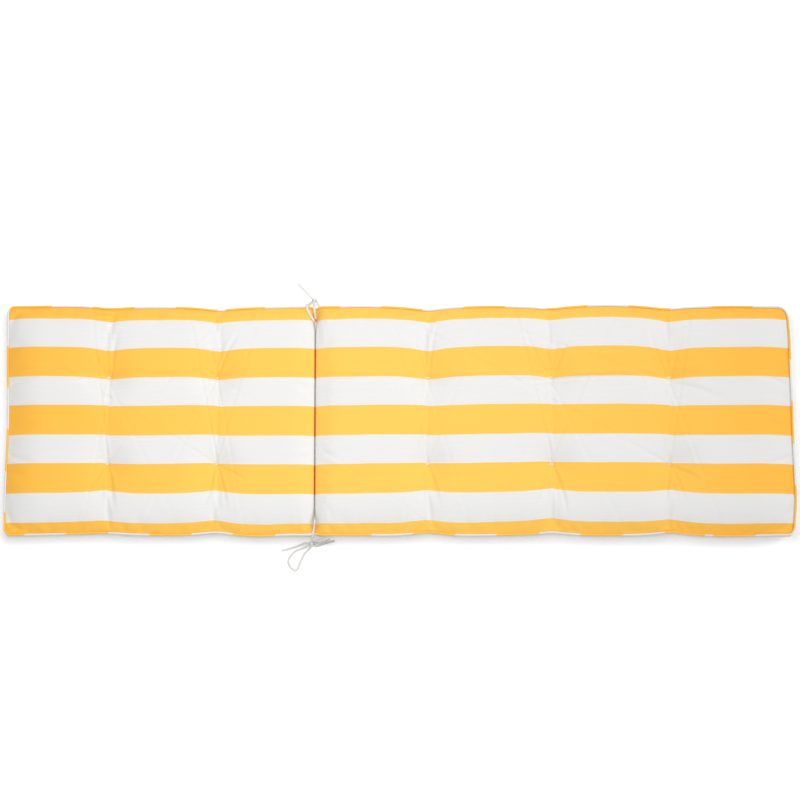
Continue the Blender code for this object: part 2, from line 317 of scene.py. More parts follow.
def band_outset(share):
    """How far the side band stands outside the seam line at a share of its height."""
    shares, outsets = zip(*BAND_PROFILE)
    return float(np.interp(share, shares, outsets))


def filled_place(x, y, share):
    """A point of the cover: share is 1 on the top, 0 on the underside, and between them on the side band."""
    place = plan_place(x, y, -band_outset(share))
    low = back_height(x, y)
    if share > TOP_SHARE:
        height = top_height(x, y)
    elif share < BACK_SHARE:
        height = low
    else:
        height = low + (seam_height(x) - low) * share
    return Vector((*place, height))


print(f"top at the middle of the long pad: {top_height(0.23, 0.0) * 1000:.0f} mm")

# %% [markdown]
# ## Lines of the cloth
#
# A cushion needs close lines only where the cloth turns sharply: at the seam, at each tuft and in the
# hinge. Between two such places the lines open out, and a sine wave moves them towards both ends.

# %% Lines of the cloth
LINE_STEP = 0.0086
CROWDING = 0.45
HINGE_LINES = (0.0, 0.0006, 0.0013, 0.0025, 0.0045, 0.0080, 0.013, 0.020)


def graded(start, end):
    """Places from start to end, closer together at both ends than in the middle."""
    count = max(2, round((end - start) / LINE_STEP))
    shares = [index / count for index in range(count + 1)]
    eased = [share - CROWDING * math.sin(2 * math.pi * share) / (2 * math.pi) for share in shares]
    return [start + (end - start) * share for share in eased]


def joined_lines(stops):
    """Graded lines through all the stops, each stop named once."""
    placed = [stops[0]]
    for start, end in zip(stops, stops[1:]):
        placed += graded(start, end)[1:]
    return placed


hinge_reach = HINGE_LINES[-1]
left_columns = [column for column in TUFT_COLUMNS if column < HINGE]
right_columns = [column for column in TUFT_COLUMNS if column > HINGE]
hinge_lines = [HINGE + side * away for side in (-1, 1) for away in HINGE_LINES]
COLUMNS = (
    joined_lines([-HALF_LENGTH, *left_columns, HINGE - hinge_reach])[:-1]
    + sorted(set(hinge_lines))
    + joined_lines([HINGE + hinge_reach, *right_columns, HALF_LENGTH])[1:]
)
ROWS = joined_lines([-HALF_WIDTH, *TUFT_ROWS, HALF_WIDTH])
print(f"{len(COLUMNS)} columns and {len(ROWS)} rows of cloth")

# %% [markdown]
# ## Helpers for shapes
#
# Most of the pieces below are made in edit mode, so the first helpers start a piece from a primitive and
# select its faces. The others keep what every finished piece needs: its own material, smooth shading and
# a place on the cushion's body, so that it goes where the cushion goes.

# %% Helpers for shapes


def deselect_all():
    """Leaves edit mode and selects nothing."""
    if bpy.context.mode != "OBJECT":
        bpy.ops.object.mode_set(mode="OBJECT")
    bpy.ops.object.select_all(action="DESELECT")


def select_only(piece):
    """Makes this piece the only selected one, and the active one."""
    deselect_all()
    piece.select_set(True)
    bpy.context.view_layer.objects.active = piece


def settle(piece):
    """Puts the object's place, turn and size into its mesh, so that the object itself is at the origin."""
    select_only(piece)
    bpy.ops.object.transform_apply(location=True, rotation=True, scale=True)
    return piece


def join(name, pieces):
    """Joins the pieces into one object of that name."""
    deselect_all()
    for piece in pieces:
        piece.select_set(True)
    bpy.context.view_layer.objects.active = pieces[0]
    bpy.ops.object.join()
    joined = bpy.context.view_layer.objects.active
    joined.name = name
    return settle(joined)


def face_outwards(piece):
    """Closes loose caps and turns every face outwards."""
    select_only(piece)
    bpy.ops.object.mode_set(mode="EDIT")
    bpy.ops.mesh.select_all(action="SELECT")
    bpy.ops.mesh.remove_doubles(threshold=0.00002)
    bpy.ops.mesh.normals_make_consistent(inside=False)
    bpy.ops.object.mode_set(mode="OBJECT")


def dress(piece, material, replaced=()):
    """Gives a finished piece its material and its place on the cushion."""
    piece.data.materials.clear()
    piece.data.materials.append(material)
    place_on_cushion(piece, replaced)


def place_on_cushion(piece, replaced=()):
    """Lets a piece ride with the cushion and stand for the solids it replaces."""
    select_only(piece)
    bpy.ops.object.shade_smooth()
    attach(piece, "root")
    if replaced:
        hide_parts(*replaced)
    triangles = sum(len(face.vertices) - 2 for face in piece.data.polygons)
    print(f"{piece.name}: {triangles} triangles")


# %% [markdown]
# ## Shader maths as plain expressions
#
# A pattern in cloth is arithmetic on a position: how far along a stripe, how deep in a thread. The class
# below lets that arithmetic be written with ordinary operators, and each one adds a Math node.

# %% Shader maths


class Number:
    """A number that changes over a surface. Operators on it add Math nodes."""

    def __init__(self, finish, socket):
        self.finish = finish
        self.socket = socket

    def math(self, operation, *values):
        return self.finish.node("ShaderNodeMath", {"operation": operation}, dict(enumerate(values)))

    def __add__(self, other):
        return self.math("ADD", self, other)

    def __sub__(self, other):
        return self.math("SUBTRACT", self, other)

    def __rsub__(self, other):
        return self.math("SUBTRACT", other, self)

    def __mul__(self, other):
        return self.math("MULTIPLY", self, other)

    def __truediv__(self, other):
        return self.math("DIVIDE", self, other)

    def sine(self):
        return self.math("SINE", self)

    def size(self):
        return self.math("ABSOLUTE", self)

    def fraction(self):
        return self.math("FRACT", self)

    def step_between(self, low, high):
        """Nothing below low and one above high, with a soft step between them."""
        return self.finish.node(
            "ShaderNodeMapRange",
            {"interpolation_type": "SMOOTHSTEP"},
            {"Value": self, "From Min": low, "From Max": high},
        )


class Finish:
    """A material that is being put together, node by node."""

    def __init__(self, name, roughness, sheen=0.0):
        self.material = bpy.data.materials.new(name)
        self.material.use_nodes = True
        self.tree = self.material.node_tree
        self.shader = self.tree.nodes["Principled BSDF"]
        self.shader.inputs["Roughness"].default_value = roughness
        self.shader.inputs["Sheen Weight"].default_value = sheen
        self.shader.inputs["Specular IOR Level"].default_value = 0.25

    def node(self, kind, settings=None, inputs=None, output=0):
        """Adds a node: its settings first, then the values or links of its sockets."""
        made = self.tree.nodes.new(kind)
        for name, value in (settings or {}).items():
            setattr(made, name, value)
        for socket, value in (inputs or {}).items():
            self.feed(made.inputs[socket], value)
        return Number(self, made.outputs[output])

    def feed(self, socket, value):
        """Links a changing value to a socket, or sets a plain one on it."""
        if isinstance(value, Number):
            self.tree.links.new(value.socket, socket)
        else:
            socket.default_value = value

    def mix(self, share, first, second):
        """A colour that goes from the first to the second."""
        return self.node(
            "ShaderNodeMix", {"data_type": "RGBA"}, {0: share, 6: first, 7: second}, output=2
        )

    def brighten(self, colour, share):
        """A colour made brighter or darker by a changing number around one."""
        return self.node(
            "ShaderNodeVectorMath", {"operation": "SCALE"}, {0: colour, 3: share}
        )

    def noise(self, where, scale, detail=2.0):
        """Soft noise between nothing and one, over a vector."""
        return self.node(
            "ShaderNodeTexNoise", {}, {"Vector": where, "Scale": scale, "Detail": detail}
        )

    def cloth_place(self):
        """Where a point lies on its flat cloth, in metres along and across."""
        where = self.node("ShaderNodeUVMap", {"uv_map": "cloth"})
        along = self.node("ShaderNodeSeparateXYZ", {}, {0: where})
        across = Number(self, along.socket.node.outputs[1])
        return along, across

    def vector(self, x, y):
        return self.node("ShaderNodeCombineXYZ", {}, {0: x, 1: y})

    def surface(self, colour, height, depth):
        """Ends the material: its colour, and a bump of the given depth in metres."""
        self.feed(self.shader.inputs["Base Color"], colour)
        bump = self.node("ShaderNodeBump", {}, {"Height": height, "Distance": depth})
        self.feed(self.shader.inputs["Normal"], bump)
        return self.material


print("shader maths ready")

# %% [markdown]
# ## The weave
#
# The cover is a firm plain weave: each thread goes over one thread and under the next. Two sine waves
# multiplied make that chequer of tiny humps. Real yarn is uneven, so noise bends the threads a little,
# and some threads are thicker for a few centimetres, which shows as fine lines along the stripes.

# %% The weave
THREAD_PITCH = 0.00085
WEAVE_DEPTH = 0.00016
THREAD_WANDER = 0.00030
SLUB_LENGTH = 0.060
SLUB_WIDTH = 0.0011


def weave(finish, along, across, pitch=THREAD_PITCH):
    """Height of a plain weave, from nothing between threads to one on top of them."""
    place = finish.vector(along, across)
    bend = finish.noise(place, 70.0) * THREAD_WANDER
    warp = ((along + bend) * (math.pi / pitch)).sine()
    weft = ((across - bend) * (math.pi / pitch)).sine()
    return warp * weft * 0.5 + 0.5


def slubs(finish, along, across):
    """Uneven yarn: streaks that are long along the cloth and one thread wide."""
    stretched = finish.vector(along * (1 / SLUB_LENGTH), across * (1 / SLUB_WIDTH))
    return finish.noise(stretched, 1.0, 3.0)


print(f"{1 / THREAD_PITCH / 100:.0f} threads to a centimetre")

# %% [markdown]
# ## Striped cloth, plain cloth and slanted cloth
#
# The top is woven in equal yellow and white stripes. The side band and the underside are the plain white
# of the same cloth. The piping is cut from the striped cloth on the slant, so its stripes cross the cord
# at forty-five degrees and take turns along it. Down in the sewn channel, shade and light bounced from
# cloth to cloth are painted into the colour: the yellow is painted red orange there, and the white beige.

# %% Striped cloth, plain cloth and slanted cloth
YELLOW = (0.985, 0.585, 0.103, 1.0)
DEEP_YELLOW = (0.985, 0.495, 0.056, 1.0)
WHITE = (0.785, 0.78, 0.765, 1.0)
SHADED_WHITE = (0.76, 0.755, 0.74, 1.0)
CHANNEL_SHADE_ORANGE = (0.95, 0.22, 0.012, 1.0)
CHANNEL_SHADE_BEIGE = (0.90, 0.85, 0.75, 1.0)
CHANNEL_WIDTH = 0.0030
STRIPE_WIDTH = 0.0749
STRIPE_MIDDLE = -0.0037
STRIPE_EDGE = 0.0012
EDGE_WANDER = 0.0010


def striped_cloth():
    """Yellow and white stripes with woven edges, and painted shade at both ends and in the channel."""
    finish = Finish("striped_cloth", 0.88, 0.12)
    along, across = finish.cloth_place()
    wander = finish.noise(finish.vector(along * 14.0, across * 90.0), 1.0, 2.0) - 0.5
    repeat = (across - STRIPE_MIDDLE + wander * EDGE_WANDER) / (2 * STRIPE_WIDTH)
    from_yellow = ((repeat + 0.5).fraction() - 0.5).size()
    edge = STRIPE_EDGE / (4 * STRIPE_WIDTH)
    white_share = from_yellow.step_between(0.25 - edge, 0.25 + edge)
    yarn = slubs(finish, along, across)
    streaks = finish.noise(finish.vector(along * 5.0, across * 260.0), 1.0, 2.0)
    fade = finish.noise(finish.vector(along * 3.0, across * 5.0), 1.0, 2.0)
    # The along * along term is painted shade: the yellow is painted deeper towards both ends, where less
    # light falls. The three noises give the dye's own uneven tone.
    deep_tone_and_end_shade = along * along * 0.85 + fade * 0.16 + streaks * 0.30 + yarn * 0.20 - 0.25
    yellow = finish.mix(deep_tone_and_end_shade, YELLOW, DEEP_YELLOW)
    # Painted shade and painted bounce light: along the hinge line the yellow is painted red orange and the
    # white beige.
    in_channel = 1 - (along - HINGE).size().step_between(0.0, CHANNEL_WIDTH)
    painted_channel_shade = finish.mix(white_share, CHANNEL_SHADE_ORANGE, CHANNEL_SHADE_BEIGE)
    colour = finish.mix(in_channel, finish.mix(white_share, yellow, WHITE), painted_channel_shade)
    threads = weave(finish, along, across)
    # The threads term is painted shade: the gaps between threads are painted darker.
    lit = finish.brighten(colour, yarn * 0.08 + streaks * 0.05 + threads * 0.05 + 0.91)
    return finish.surface(lit, threads + yarn * 0.8, WEAVE_DEPTH)


def plain_cloth():
    """The white cloth of the side band and the underside."""
    finish = Finish("plain_cloth", 0.88, 0.12)
    along, across = finish.cloth_place()
    yarn = slubs(finish, along, across)
    threads = weave(finish, along, across)
    # The threads term is painted shade: the gaps between threads are painted darker.
    lit = finish.brighten(finish.mix(yarn, SHADED_WHITE, WHITE), threads * 0.05 + 0.95)
    return finish.surface(lit, threads + yarn * 0.8, WEAVE_DEPTH)


STRIPED = striped_cloth()
PLAIN = plain_cloth()
print("cloths:", STRIPED.name, PLAIN.name)

# %% [markdown]
# ## The ties: cords first
#
# Each end of the hinge has a narrow cotton tape. At the near side it is tied in a loose bow that lies on
# the floor, with two loops and two free ends. At the far side three stretches of it come over the edge
# into one knot with one free end. A tape is flat, so beside its route each point also has a lean: no
# degrees where it lies flat and ninety where it stands on its edge.

# %% Knots and routes of the ties
TAPE_WIDTH = 0.0060
TAPE_THICKNESS = 0.0007
TAPE_STEP = 0.0016
KNOT_CLEARANCE = 0.0006
KNOT_WAIST = 0.12
KNOT_WAIST_WIDTH = 0.3

# Knots: middle, and half their size along each axis
KNOTS = {
    "knot_near": ((-0.2235, -0.3100, 0.0130), (0.0085, 0.0065, 0.0075)),
    "knot_far": ((-0.2200, 0.3200, 0.0080), (0.0065, 0.0055, 0.0060)),
}

# Ties: the knot each starts from, its points with their lean in degrees, and the knot it ends at
TIES = {
    "tie_near_root": (
        None,
        (
            (-0.2160, -0.2620, 0.0385, 70),
            (-0.2168, -0.2730, 0.0405, 60),
            (-0.2180, -0.2835, 0.0465, 40),
            (-0.2192, -0.2915, 0.0480, 30),
            (-0.2205, -0.2985, 0.0420, 30),
            (-0.2222, -0.3045, 0.0290, 40),
        ),
        "knot_near",
    ),
    "tie_near_tail_left": (
        "knot_near",
        (
            (-0.2400, -0.3085, 0.0105, 55),
            (-0.2534, -0.3132, 0.0040, 50),
            (-0.2674, -0.3183, 0.0027, 40),
            (-0.2839, -0.3232, 0.0027, 25),
            (-0.2990, -0.3268, 0.0027, 10),
        ),
        None,
    ),
    "tie_near_loop_left": (
        "knot_near",
        (
            (-0.2400, -0.3178, 0.0078, 60),
            (-0.2510, -0.3225, 0.0035, 60),
            (-0.2643, -0.3275, 0.0027, 55),
            (-0.2767, -0.3402, 0.0027, 50),
            (-0.2829, -0.3529, 0.0027, 45),
            (-0.2808, -0.3634, 0.0027, 35),
            (-0.2734, -0.3731, 0.0027, 15),
            (-0.2653, -0.3772, 0.0027, -5),
            (-0.2592, -0.3731, 0.0027, -20),
            (-0.2515, -0.3550, 0.0027, -10),
            (-0.2442, -0.3381, 0.0027, -25),
            (-0.2372, -0.3290, 0.0030, -45),
            (-0.2305, -0.3232, 0.0060, -60),
        ),
        "knot_near",
    ),
    "tie_near_loop_right": (
        "knot_near",
        (
            (-0.2080, -0.3040, 0.0240, 60),
            (-0.1950, -0.3012, 0.0380, 70),
            (-0.1862, -0.3006, 0.0470, 80),
            (-0.1797, -0.3018, 0.0478, 85),
            (-0.1782, -0.3036, 0.0412, 80),
            (-0.1838, -0.3052, 0.0315, 75),
            (-0.1950, -0.3068, 0.0210, 70),
            (-0.2080, -0.3095, 0.0125, 60),
        ),
        "knot_near",
    ),
    "tie_near_tail_right": (
        "knot_near",
        (
            (-0.2110, -0.3158, 0.0050, 60),
            (-0.1980, -0.3110, 0.0028, 50),
            (-0.1830, -0.3062, 0.0027, 35),
            (-0.1653, -0.3020, 0.0027, 20),
        ),
        None,
    ),
    "tie_far_arm_left": (
        None,
        (
            (-0.2180, 0.2555, 0.0445, 30),
            (-0.2225, 0.2620, 0.0510, 15),
            (-0.2290, 0.2720, 0.0555, 5),
            (-0.2350, 0.2840, 0.0562, 0),
            (-0.2378, 0.2925, 0.0583, 0),
            (-0.2386, 0.2995, 0.0540, 10),
            (-0.2380, 0.3015, 0.0430, 20),
            (-0.2360, 0.3020, 0.0280, 30),
            (-0.2300, 0.3120, 0.0130, 40),
        ),
        "knot_far",
    ),
    "tie_far_arm_middle": (
        None,
        (
            (-0.2155, 0.2640, 0.0385, 50),
            (-0.2165, 0.2740, 0.0405, 40),
            (-0.2180, 0.2835, 0.0465, 20),
            (-0.2188, 0.2915, 0.0480, 10),
            (-0.2195, 0.2985, 0.0420, 10),
            (-0.2203, 0.3110, 0.0225, 20),
        ),
        "knot_far",
    ),
    "tie_far_arm_right": (
        None,
        (
            (-0.2045, 0.2948, 0.0360, 60),
            (-0.2060, 0.2985, 0.0285, 50),
            (-0.2090, 0.3065, 0.0185, 40),
            (-0.2125, 0.3145, 0.0125, 40),
        ),
        "knot_far",
    ),
    "tie_far_tail": (
        "knot_far",
        (
            (-0.2300, 0.3305, 0.0036, 50),
            (-0.2417, 0.3437, 0.0027, 40),
            (-0.2520, 0.3543, 0.0027, 25),
            (-0.2624, 0.3648, 0.0027, 10),
        ),
        None,
    ),
}
print(f"{len(TIES)} stretches of tape and {len(KNOTS)} knots")

# %% [markdown]
# ## A smooth route for each tape
#
# A Catmull-Rom curve passes through every point of a route without a corner, which is how a limp tape
# runs. Where the tape lies on the floor, its height follows from its lean: flat tape lies right down,
# and tape on its edge has its middle half a width up.

# %% A smooth route for each tape


def between(before, start, end, after, share):
    """A point of the smooth curve that passes through start and end."""
    tangent_start = (end - before) / 2
    tangent_end = (after - start) / 2
    square = share * share
    cube = square * share
    return (
        start * (2 * cube - 3 * square + 1)
        + tangent_start * (cube - 2 * square + share)
        + end * (3 * square - 2 * cube)
        + tangent_end * (cube - square)
    )


def knot_side(knot, towards_point):
    """The point just off a knot's surface, on the side that a tape leaves towards."""
    centre, size = KNOTS[knot]
    outwards = (Vector(towards_point) - Vector(centre)).normalized()
    round_reach = 1.0 / math.sqrt(sum((way / half) ** 2 for way, half in zip(outwards, size)))
    waist = 1.0 - KNOT_WAIST * bell(outwards.x * round_reach / size[0], KNOT_WAIST_WIDTH)
    waisted = (size[0], size[1] * waist, size[2] * waist)
    reach = 1.0 / math.sqrt(sum((way / half) ** 2 for way, half in zip(outwards, waisted)))
    return Vector(centre) + outwards * (reach + KNOT_CLEARANCE)


LEAN_SHARE = 0.6
FLOOR_ROUTE = 0.0028
LIFTED_ROUTE = 0.012
LOWEST_DROP = 0.0024


def tape_route(start_knot, route, end_knot):
    """Points close together along a tie, each with its lean in radians as a fourth value."""
    stops = [Vector((*row[:3], math.radians(row[3] * LEAN_SHARE))) for row in route]
    if start_knot:
        stops.insert(0, Vector((*knot_side(start_knot, route[0][:3]), stops[0][3])))
    if end_knot:
        stops.append(Vector((*knot_side(end_knot, route[-1][:3]), stops[-1][3])))
    points = [stops[0]]
    for index in range(len(stops) - 1):
        before = stops[max(0, index - 1)]
        after = stops[min(len(stops) - 1, index + 2)]
        length = (stops[index + 1] - stops[index]).xyz.length
        parts = max(1, round(length / TAPE_STEP))
        for part in range(1, parts + 1):
            points.append(between(before, stops[index], stops[index + 1], after, part / parts))
    for point in points:
        lifted = min(1.0, max(0.0, (point.z - FLOOR_ROUTE) / (LIFTED_ROUTE - FLOOR_ROUTE)))
        lowest = abs(math.sin(point.w)) * TAPE_WIDTH / 2 + TAPE_THICKNESS
        point.z = max(lowest, point.z - LOWEST_DROP * (1.0 - lifted))
    return points


def length_of(points):
    """Length along a row of points."""
    return sum((b - a).xyz.length for a, b in zip(points, points[1:]))


routes = {name: tape_route(*tie) for name, tie in TIES.items()}
for name, points in routes.items():
    print(f"{name}: {length_of(points) * 1000:.0f} mm")

# %% [markdown]
# ## White tape
#
# Cotton tape is woven in a fine herringbone. Its cloth map runs along the tape and across it, so the slanted
# ribs change direction in the middle, and both edges have a firmer, slightly raised border. The border and
# the gaps between the ribs are painted darker as painted shade.

# %% White tape
RIB_PITCH = 0.0011
RIB_DEPTH = 0.00018
TAPE_LIGHT = (0.81, 0.80, 0.78, 1.0)
TAPE_DARK = (0.73, 0.72, 0.70, 1.0)
TAPE_BORDER_SHADE = (0.58, 0.57, 0.55, 1.0)


def white_tape():
    """Narrow woven cotton tape."""
    finish = Finish("white_tape", 0.82, 0.1)
    along, across = finish.cloth_place()
    slant = along + across.size()
    ribs = (slant * (2 * math.pi / RIB_PITCH)).sine() * 0.5 + 0.5
    border = across.size().step_between(TAPE_WIDTH * 0.40, TAPE_WIDTH * 0.44)
    yarn = finish.noise(finish.vector(along * 260.0, across * 900.0), 1.0, 2.0)
    middle = finish.mix(yarn * 0.6, TAPE_LIGHT, TAPE_DARK)
    # Painted shade: the border is painted much darker, and the next line paints the gaps between ribs
    # darker.
    colour = finish.mix(border, middle, TAPE_BORDER_SHADE)
    lit = finish.brighten(colour, ribs * 0.06 + 0.94)
    return finish.surface(lit, ribs * 0.7 + border * 0.6 + yarn * 0.3, RIB_DEPTH)


TAPE = white_tape()
print("tape:", TAPE.name)

# %% [markdown]
# ## Flat tape from a curve
#
# A curve with a flat section as its bevel makes the tape, and the tilt of each point turns it. The tape
# is then made a mesh, its caps are merged, and a cloth map is written from the distance along the route
# and the distance across the tape.

# %% Flat tape from a curve
SECTION_POINTS = 12
SECTION_SQUARENESS = 0.45


def flat_section():
    """The tape's section: a flat oval with nearly square ends."""
    curve = bpy.data.curves.new("tape_section", "CURVE")
    curve.dimensions = "2D"
    spline = curve.splines.new("POLY")
    spline.points.add(SECTION_POINTS - 1)
    for index, point in enumerate(spline.points):
        turn = 2 * math.pi * (index + 0.5) / SECTION_POINTS
        wide = math.copysign(abs(math.cos(turn)) ** SECTION_SQUARENESS, math.cos(turn))
        thick = math.copysign(abs(math.sin(turn)) ** SECTION_SQUARENESS, math.sin(turn))
        point.co = (wide * TAPE_WIDTH / 2, thick * TAPE_THICKNESS / 2, 0.0, 1.0)
    spline.use_cyclic_u = True
    return new_object("tape_section", curve)


def curve_to_piece(name, curve):
    """Makes a curve's tube a mesh, with its caps merged."""
    select_only(new_object(name, curve))
    bpy.ops.object.convert(target="MESH")
    piece = bpy.context.view_layer.objects.active
    piece.name = name
    face_outwards(piece)
    return piece


def write_cloth_map(piece, place_of):
    """Writes the cloth map: place_of gives each point's place along and across its cloth."""
    for layer in list(piece.data.uv_layers):
        piece.data.uv_layers.remove(layer)
    layer = piece.data.uv_layers.new(name="cloth")
    places = [place_of(vertex.co) for vertex in piece.data.vertices]
    for loop in piece.data.loops:
        layer.data[loop.index].uv = places[loop.vertex_index]


def route_tree(points):
    """A search tree over the points of a route, with the length up to each of them."""
    tree = kdtree.KDTree(len(points))
    along = [0.0]
    for index, point in enumerate(points):
        tree.insert(point, index)
        if index:
            along.append(along[-1] + (point - points[index - 1]).length)
    tree.balance()
    return tree, along


def make_tape(name, points, section):
    """One stretch of tape along its route."""
    curve = bpy.data.curves.new(name, "CURVE")
    curve.dimensions = "3D"
    curve.twist_mode = "Z_UP"
    curve.bevel_mode = "OBJECT"
    curve.bevel_object = section
    curve.use_fill_caps = True
    spline = curve.splines.new("POLY")
    spline.points.add(len(points) - 1)
    for target, point in zip(spline.points, points):
        target.co = (*point.xyz, 1.0)
        target.tilt = point.w
    piece = curve_to_piece(name, curve)
    path = [point.xyz for point in points]
    tree, along = route_tree(path)

    def place_of(where):
        _, index, _ = tree.find(where)
        before = path[max(0, index - 1)]
        after = path[min(len(path) - 1, index + 1)]
        forwards = (after - before).normalized()
        sideways = forwards.cross(UP).normalized()
        sideways = Matrix.Rotation(points[index].w, 3, forwards) @ sideways
        return along[index], (where - path[index]).dot(sideways)

    write_cloth_map(piece, place_of)
    return piece


section = flat_section()
for name, points in routes.items():
    tape = make_tape("tape_" + name, points, section)
    dress(tape, TAPE, [name])
bpy.data.objects.remove(section)

# %% [markdown]
# ## The knots
#
# Seen close, a tied tape is a snug band round a bunch of folded layers. The bunch starts as a sphere
# whose points are moved in and out in a few folds, and the band is a ring with a flattened section.

# %% The knots
FOLDS = 5
FOLD_DEPTH = 0.07
BAND_TURNS = {"knot_near": (0.10, 0.35), "knot_far": (-0.35, -0.55)}


def fold_in(piece, size):
    """Moves the points of a rounded lump in and out, as gathered layers of tape lie."""
    for vertex in piece.data.vertices:
        where = vertex.co
        turn = math.atan2(where.z / size[2], where.y / size[1])
        from_middle = min(1.0, abs(where.x) / size[0])
        narrowed = 1.0 - 0.42 * from_middle**2 - 0.10 * bell(where.x / size[0], 0.3)
        fold = 1.0 + FOLD_DEPTH * (0.3 + from_middle) * math.sin(FOLDS * turn + 3.0 * from_middle)
        where.y *= narrowed * fold
        where.z *= narrowed * fold


def make_knot(name, centre, size):
    """A bunch of folded tape with a band of tape round it."""
    deselect_all()
    bpy.ops.mesh.primitive_uv_sphere_add(segments=40, ring_count=24, radius=1.0)
    bunch = bpy.context.view_layer.objects.active
    bunch.rotation_euler = (0.0, math.pi / 2, 0.0)
    settle(bunch)
    bunch.scale = (size[0], size[1] * 0.92, size[2] * 0.92)
    settle(bunch)
    fold_in(bunch, size)
    deselect_all()
    bpy.ops.mesh.primitive_torus_add(
        major_segments=48, minor_segments=16, major_radius=1.0, minor_radius=0.10
    )
    band = bpy.context.view_layer.objects.active
    for vertex in band.data.vertices:
        vertex.co.z *= 4.2 * (1.0 + 0.12 * math.sin(2.0 * math.atan2(vertex.co.y, vertex.co.x)))
    band.rotation_euler = (0.0, math.pi / 2, 0.0)
    settle(band)
    band.scale = (TAPE_WIDTH, size[1] * 0.90, size[2] * 0.90)
    settle(band)
    turn, lean = BAND_TURNS[name]
    band.rotation_euler = (0.0, turn, lean)
    settle(band)
    knot = join("tied_" + name, [bunch, band])
    knot.location = centre
    settle(knot)
    write_cloth_map(knot, lambda where: (where.y, where.x - centre[0]))
    return knot


for name, (centre, size) in KNOTS.items():
    knot = make_knot(name, centre, size)
    dress(knot, TAPE, [name])

# %% [markdown]
# ## Points and lengths of the ties
#
# Each stretch of tape is a cord of a known length and width, which leaves the hinge or a knot at one end
# and goes into a knot or ends free at the other. The free ends are cut off bare, as on the real tape.

# %% Points and lengths of the ties
for name, (start_knot, route, end_knot) in TIES.items():
    points = [point.xyz for point in routes[name]]
    tuple(points[0])
    length_of(routes[name])
    [tuple(point) for point in points]

# %% [markdown]
# ## The cushion: cutting the cloth
#
# A flat grid is extruded up into a block one unit high and cut into bands, so every point still knows
# where it lies on the flat cloth. Its map is written before the block is moved to its filled form. The
# stripes bend outwards at each pair of tufts, drift a little along the cushion, and are pulled towards
# each thread, as the gathered cloth is.

# %% The cushion: cutting the cloth
GATHER = 0.0035
GATHER_REACH = 0.022
GATHER_START = 0.010
STRIPE_DRAW = 0.0072
STRIPE_DRAW_WIDTH = 0.040
STRIPE_DRAW_PLACE = 1.6
COLUMN_STEP = 0.0022
COLUMN_STEP_LENGTH = 0.090

# Where the edges of the stripes really lie across the cushion, and where even stripes would have them
REAL_EDGES = (-0.2635, -0.1920, -0.1157, -0.0421, 0.0346, 0.1084, 0.1845, 0.2598)
EVEN_EDGES = tuple(STRIPE_MIDDLE + (number + 0.5) * STRIPE_WIDTH for number in range(-4, 4))
EDGES_REACH = 0.25

# The cloth was laid a little askew: place along the cushion, and how far the stripes lie to the far side
STRIPE_DRIFT = (
    (-HALF_LENGTH, 0.0025),
    (-0.860, 0.0012),
    (-0.780, 0.0012),
    (-0.660, -0.0006),
    (-0.500, 0.0008),
    (-0.400, -0.0010),
    (-0.280, -0.0012),
    (-0.200, 0.0001),
    (-0.130, 0.0000),
    (-0.060, 0.0014),
    (0.030, 0.0016),
    (0.100, 0.0014),
    (0.160, 0.0022),
    (0.230, 0.0036),
    (0.370, 0.0054),
    (0.470, 0.0044),
    (0.550, 0.0045),
    (0.630, 0.0036),
    (0.710, 0.0014),
    (0.800, 0.0008),
    (HALF_LENGTH, 0.0016),
)


def gathered(x, y):
    """Where on the flat cloth the point over (x, y) was woven, once the tufts have pulled it."""
    along = x
    outwards = math.copysign(1.0, y)
    from_middle = abs(y) / HALF_WIDTH
    sideways = math.sin(math.pi * min(1.0, from_middle) ** STRIPE_DRAW_PLACE)
    nearness = sum(pull_near(x - column, STRIPE_DRAW_WIDTH) for column in TUFT_COLUMNS)
    across = float(np.interp(y, REAL_EDGES, EVEN_EDGES)) if abs(y) < EDGES_REACH else y
    across += outwards * STRIPE_DRAW * nearness * sideways
    across -= looked_up(STRIPE_DRIFT, x, 1)
    for column in TUFT_COLUMNS:
        if x > column:
            across += COLUMN_STEP * math.exp((column - x) / COLUMN_STEP_LENGTH) * (1.0 - from_middle)
    across -= HINGE_DRAW * bell(x - HINGE, HINGE_DRAW_WIDTH) * (y / HALF_WIDTH) ** DRAW_FADE
    for column, row in TUFTS:
        away = math.hypot(x - column, y - row)
        if away > EDGE_MARGIN:
            pull = GATHER * math.exp(-away / GATHER_REACH) * min(1.0, away / GATHER_START)
            along += pull * (x - column) / away
            across += pull * (y - row) / away
    return along, across


deselect_all()
bpy.ops.mesh.primitive_grid_add(
    x_subdivisions=len(COLUMNS) - 1, y_subdivisions=len(ROWS) - 1, size=1.0, location=(0.0, 0.0, 0.0)
)
cushion = bpy.context.view_layer.objects.active
cushion.name = "striped_cushion"
bpy.ops.object.mode_set(mode="EDIT")
bpy.ops.mesh.select_all(action="SELECT")
bpy.ops.mesh.extrude_region_move(TRANSFORM_OT_translate={"value": (0.0, 0.0, 1.0)})
bpy.ops.mesh.select_all(action="SELECT")
bpy.ops.mesh.normals_make_consistent(inside=False)
for share, _ in BAND_PROFILE[1:-1]:
    bpy.ops.mesh.select_all(action="SELECT")
    bpy.ops.mesh.bisect(plane_co=(0.0, 0.0, share), plane_no=(0.0, 0.0, 1.0))
bpy.ops.object.mode_set(mode="OBJECT")
print(f"block of {len(cushion.data.vertices)} points and {len(cushion.data.polygons)} faces")

# %% The cushion: mapping the cloth and filling it
last_column = len(COLUMNS) - 1
last_row = len(ROWS) - 1
flat_places = []
for vertex in cushion.data.vertices:
    column = COLUMNS[round((vertex.co.x + 0.5) * last_column)]
    row = ROWS[round((vertex.co.y + 0.5) * last_row)]
    flat_places.append((column, row, vertex.co.z))

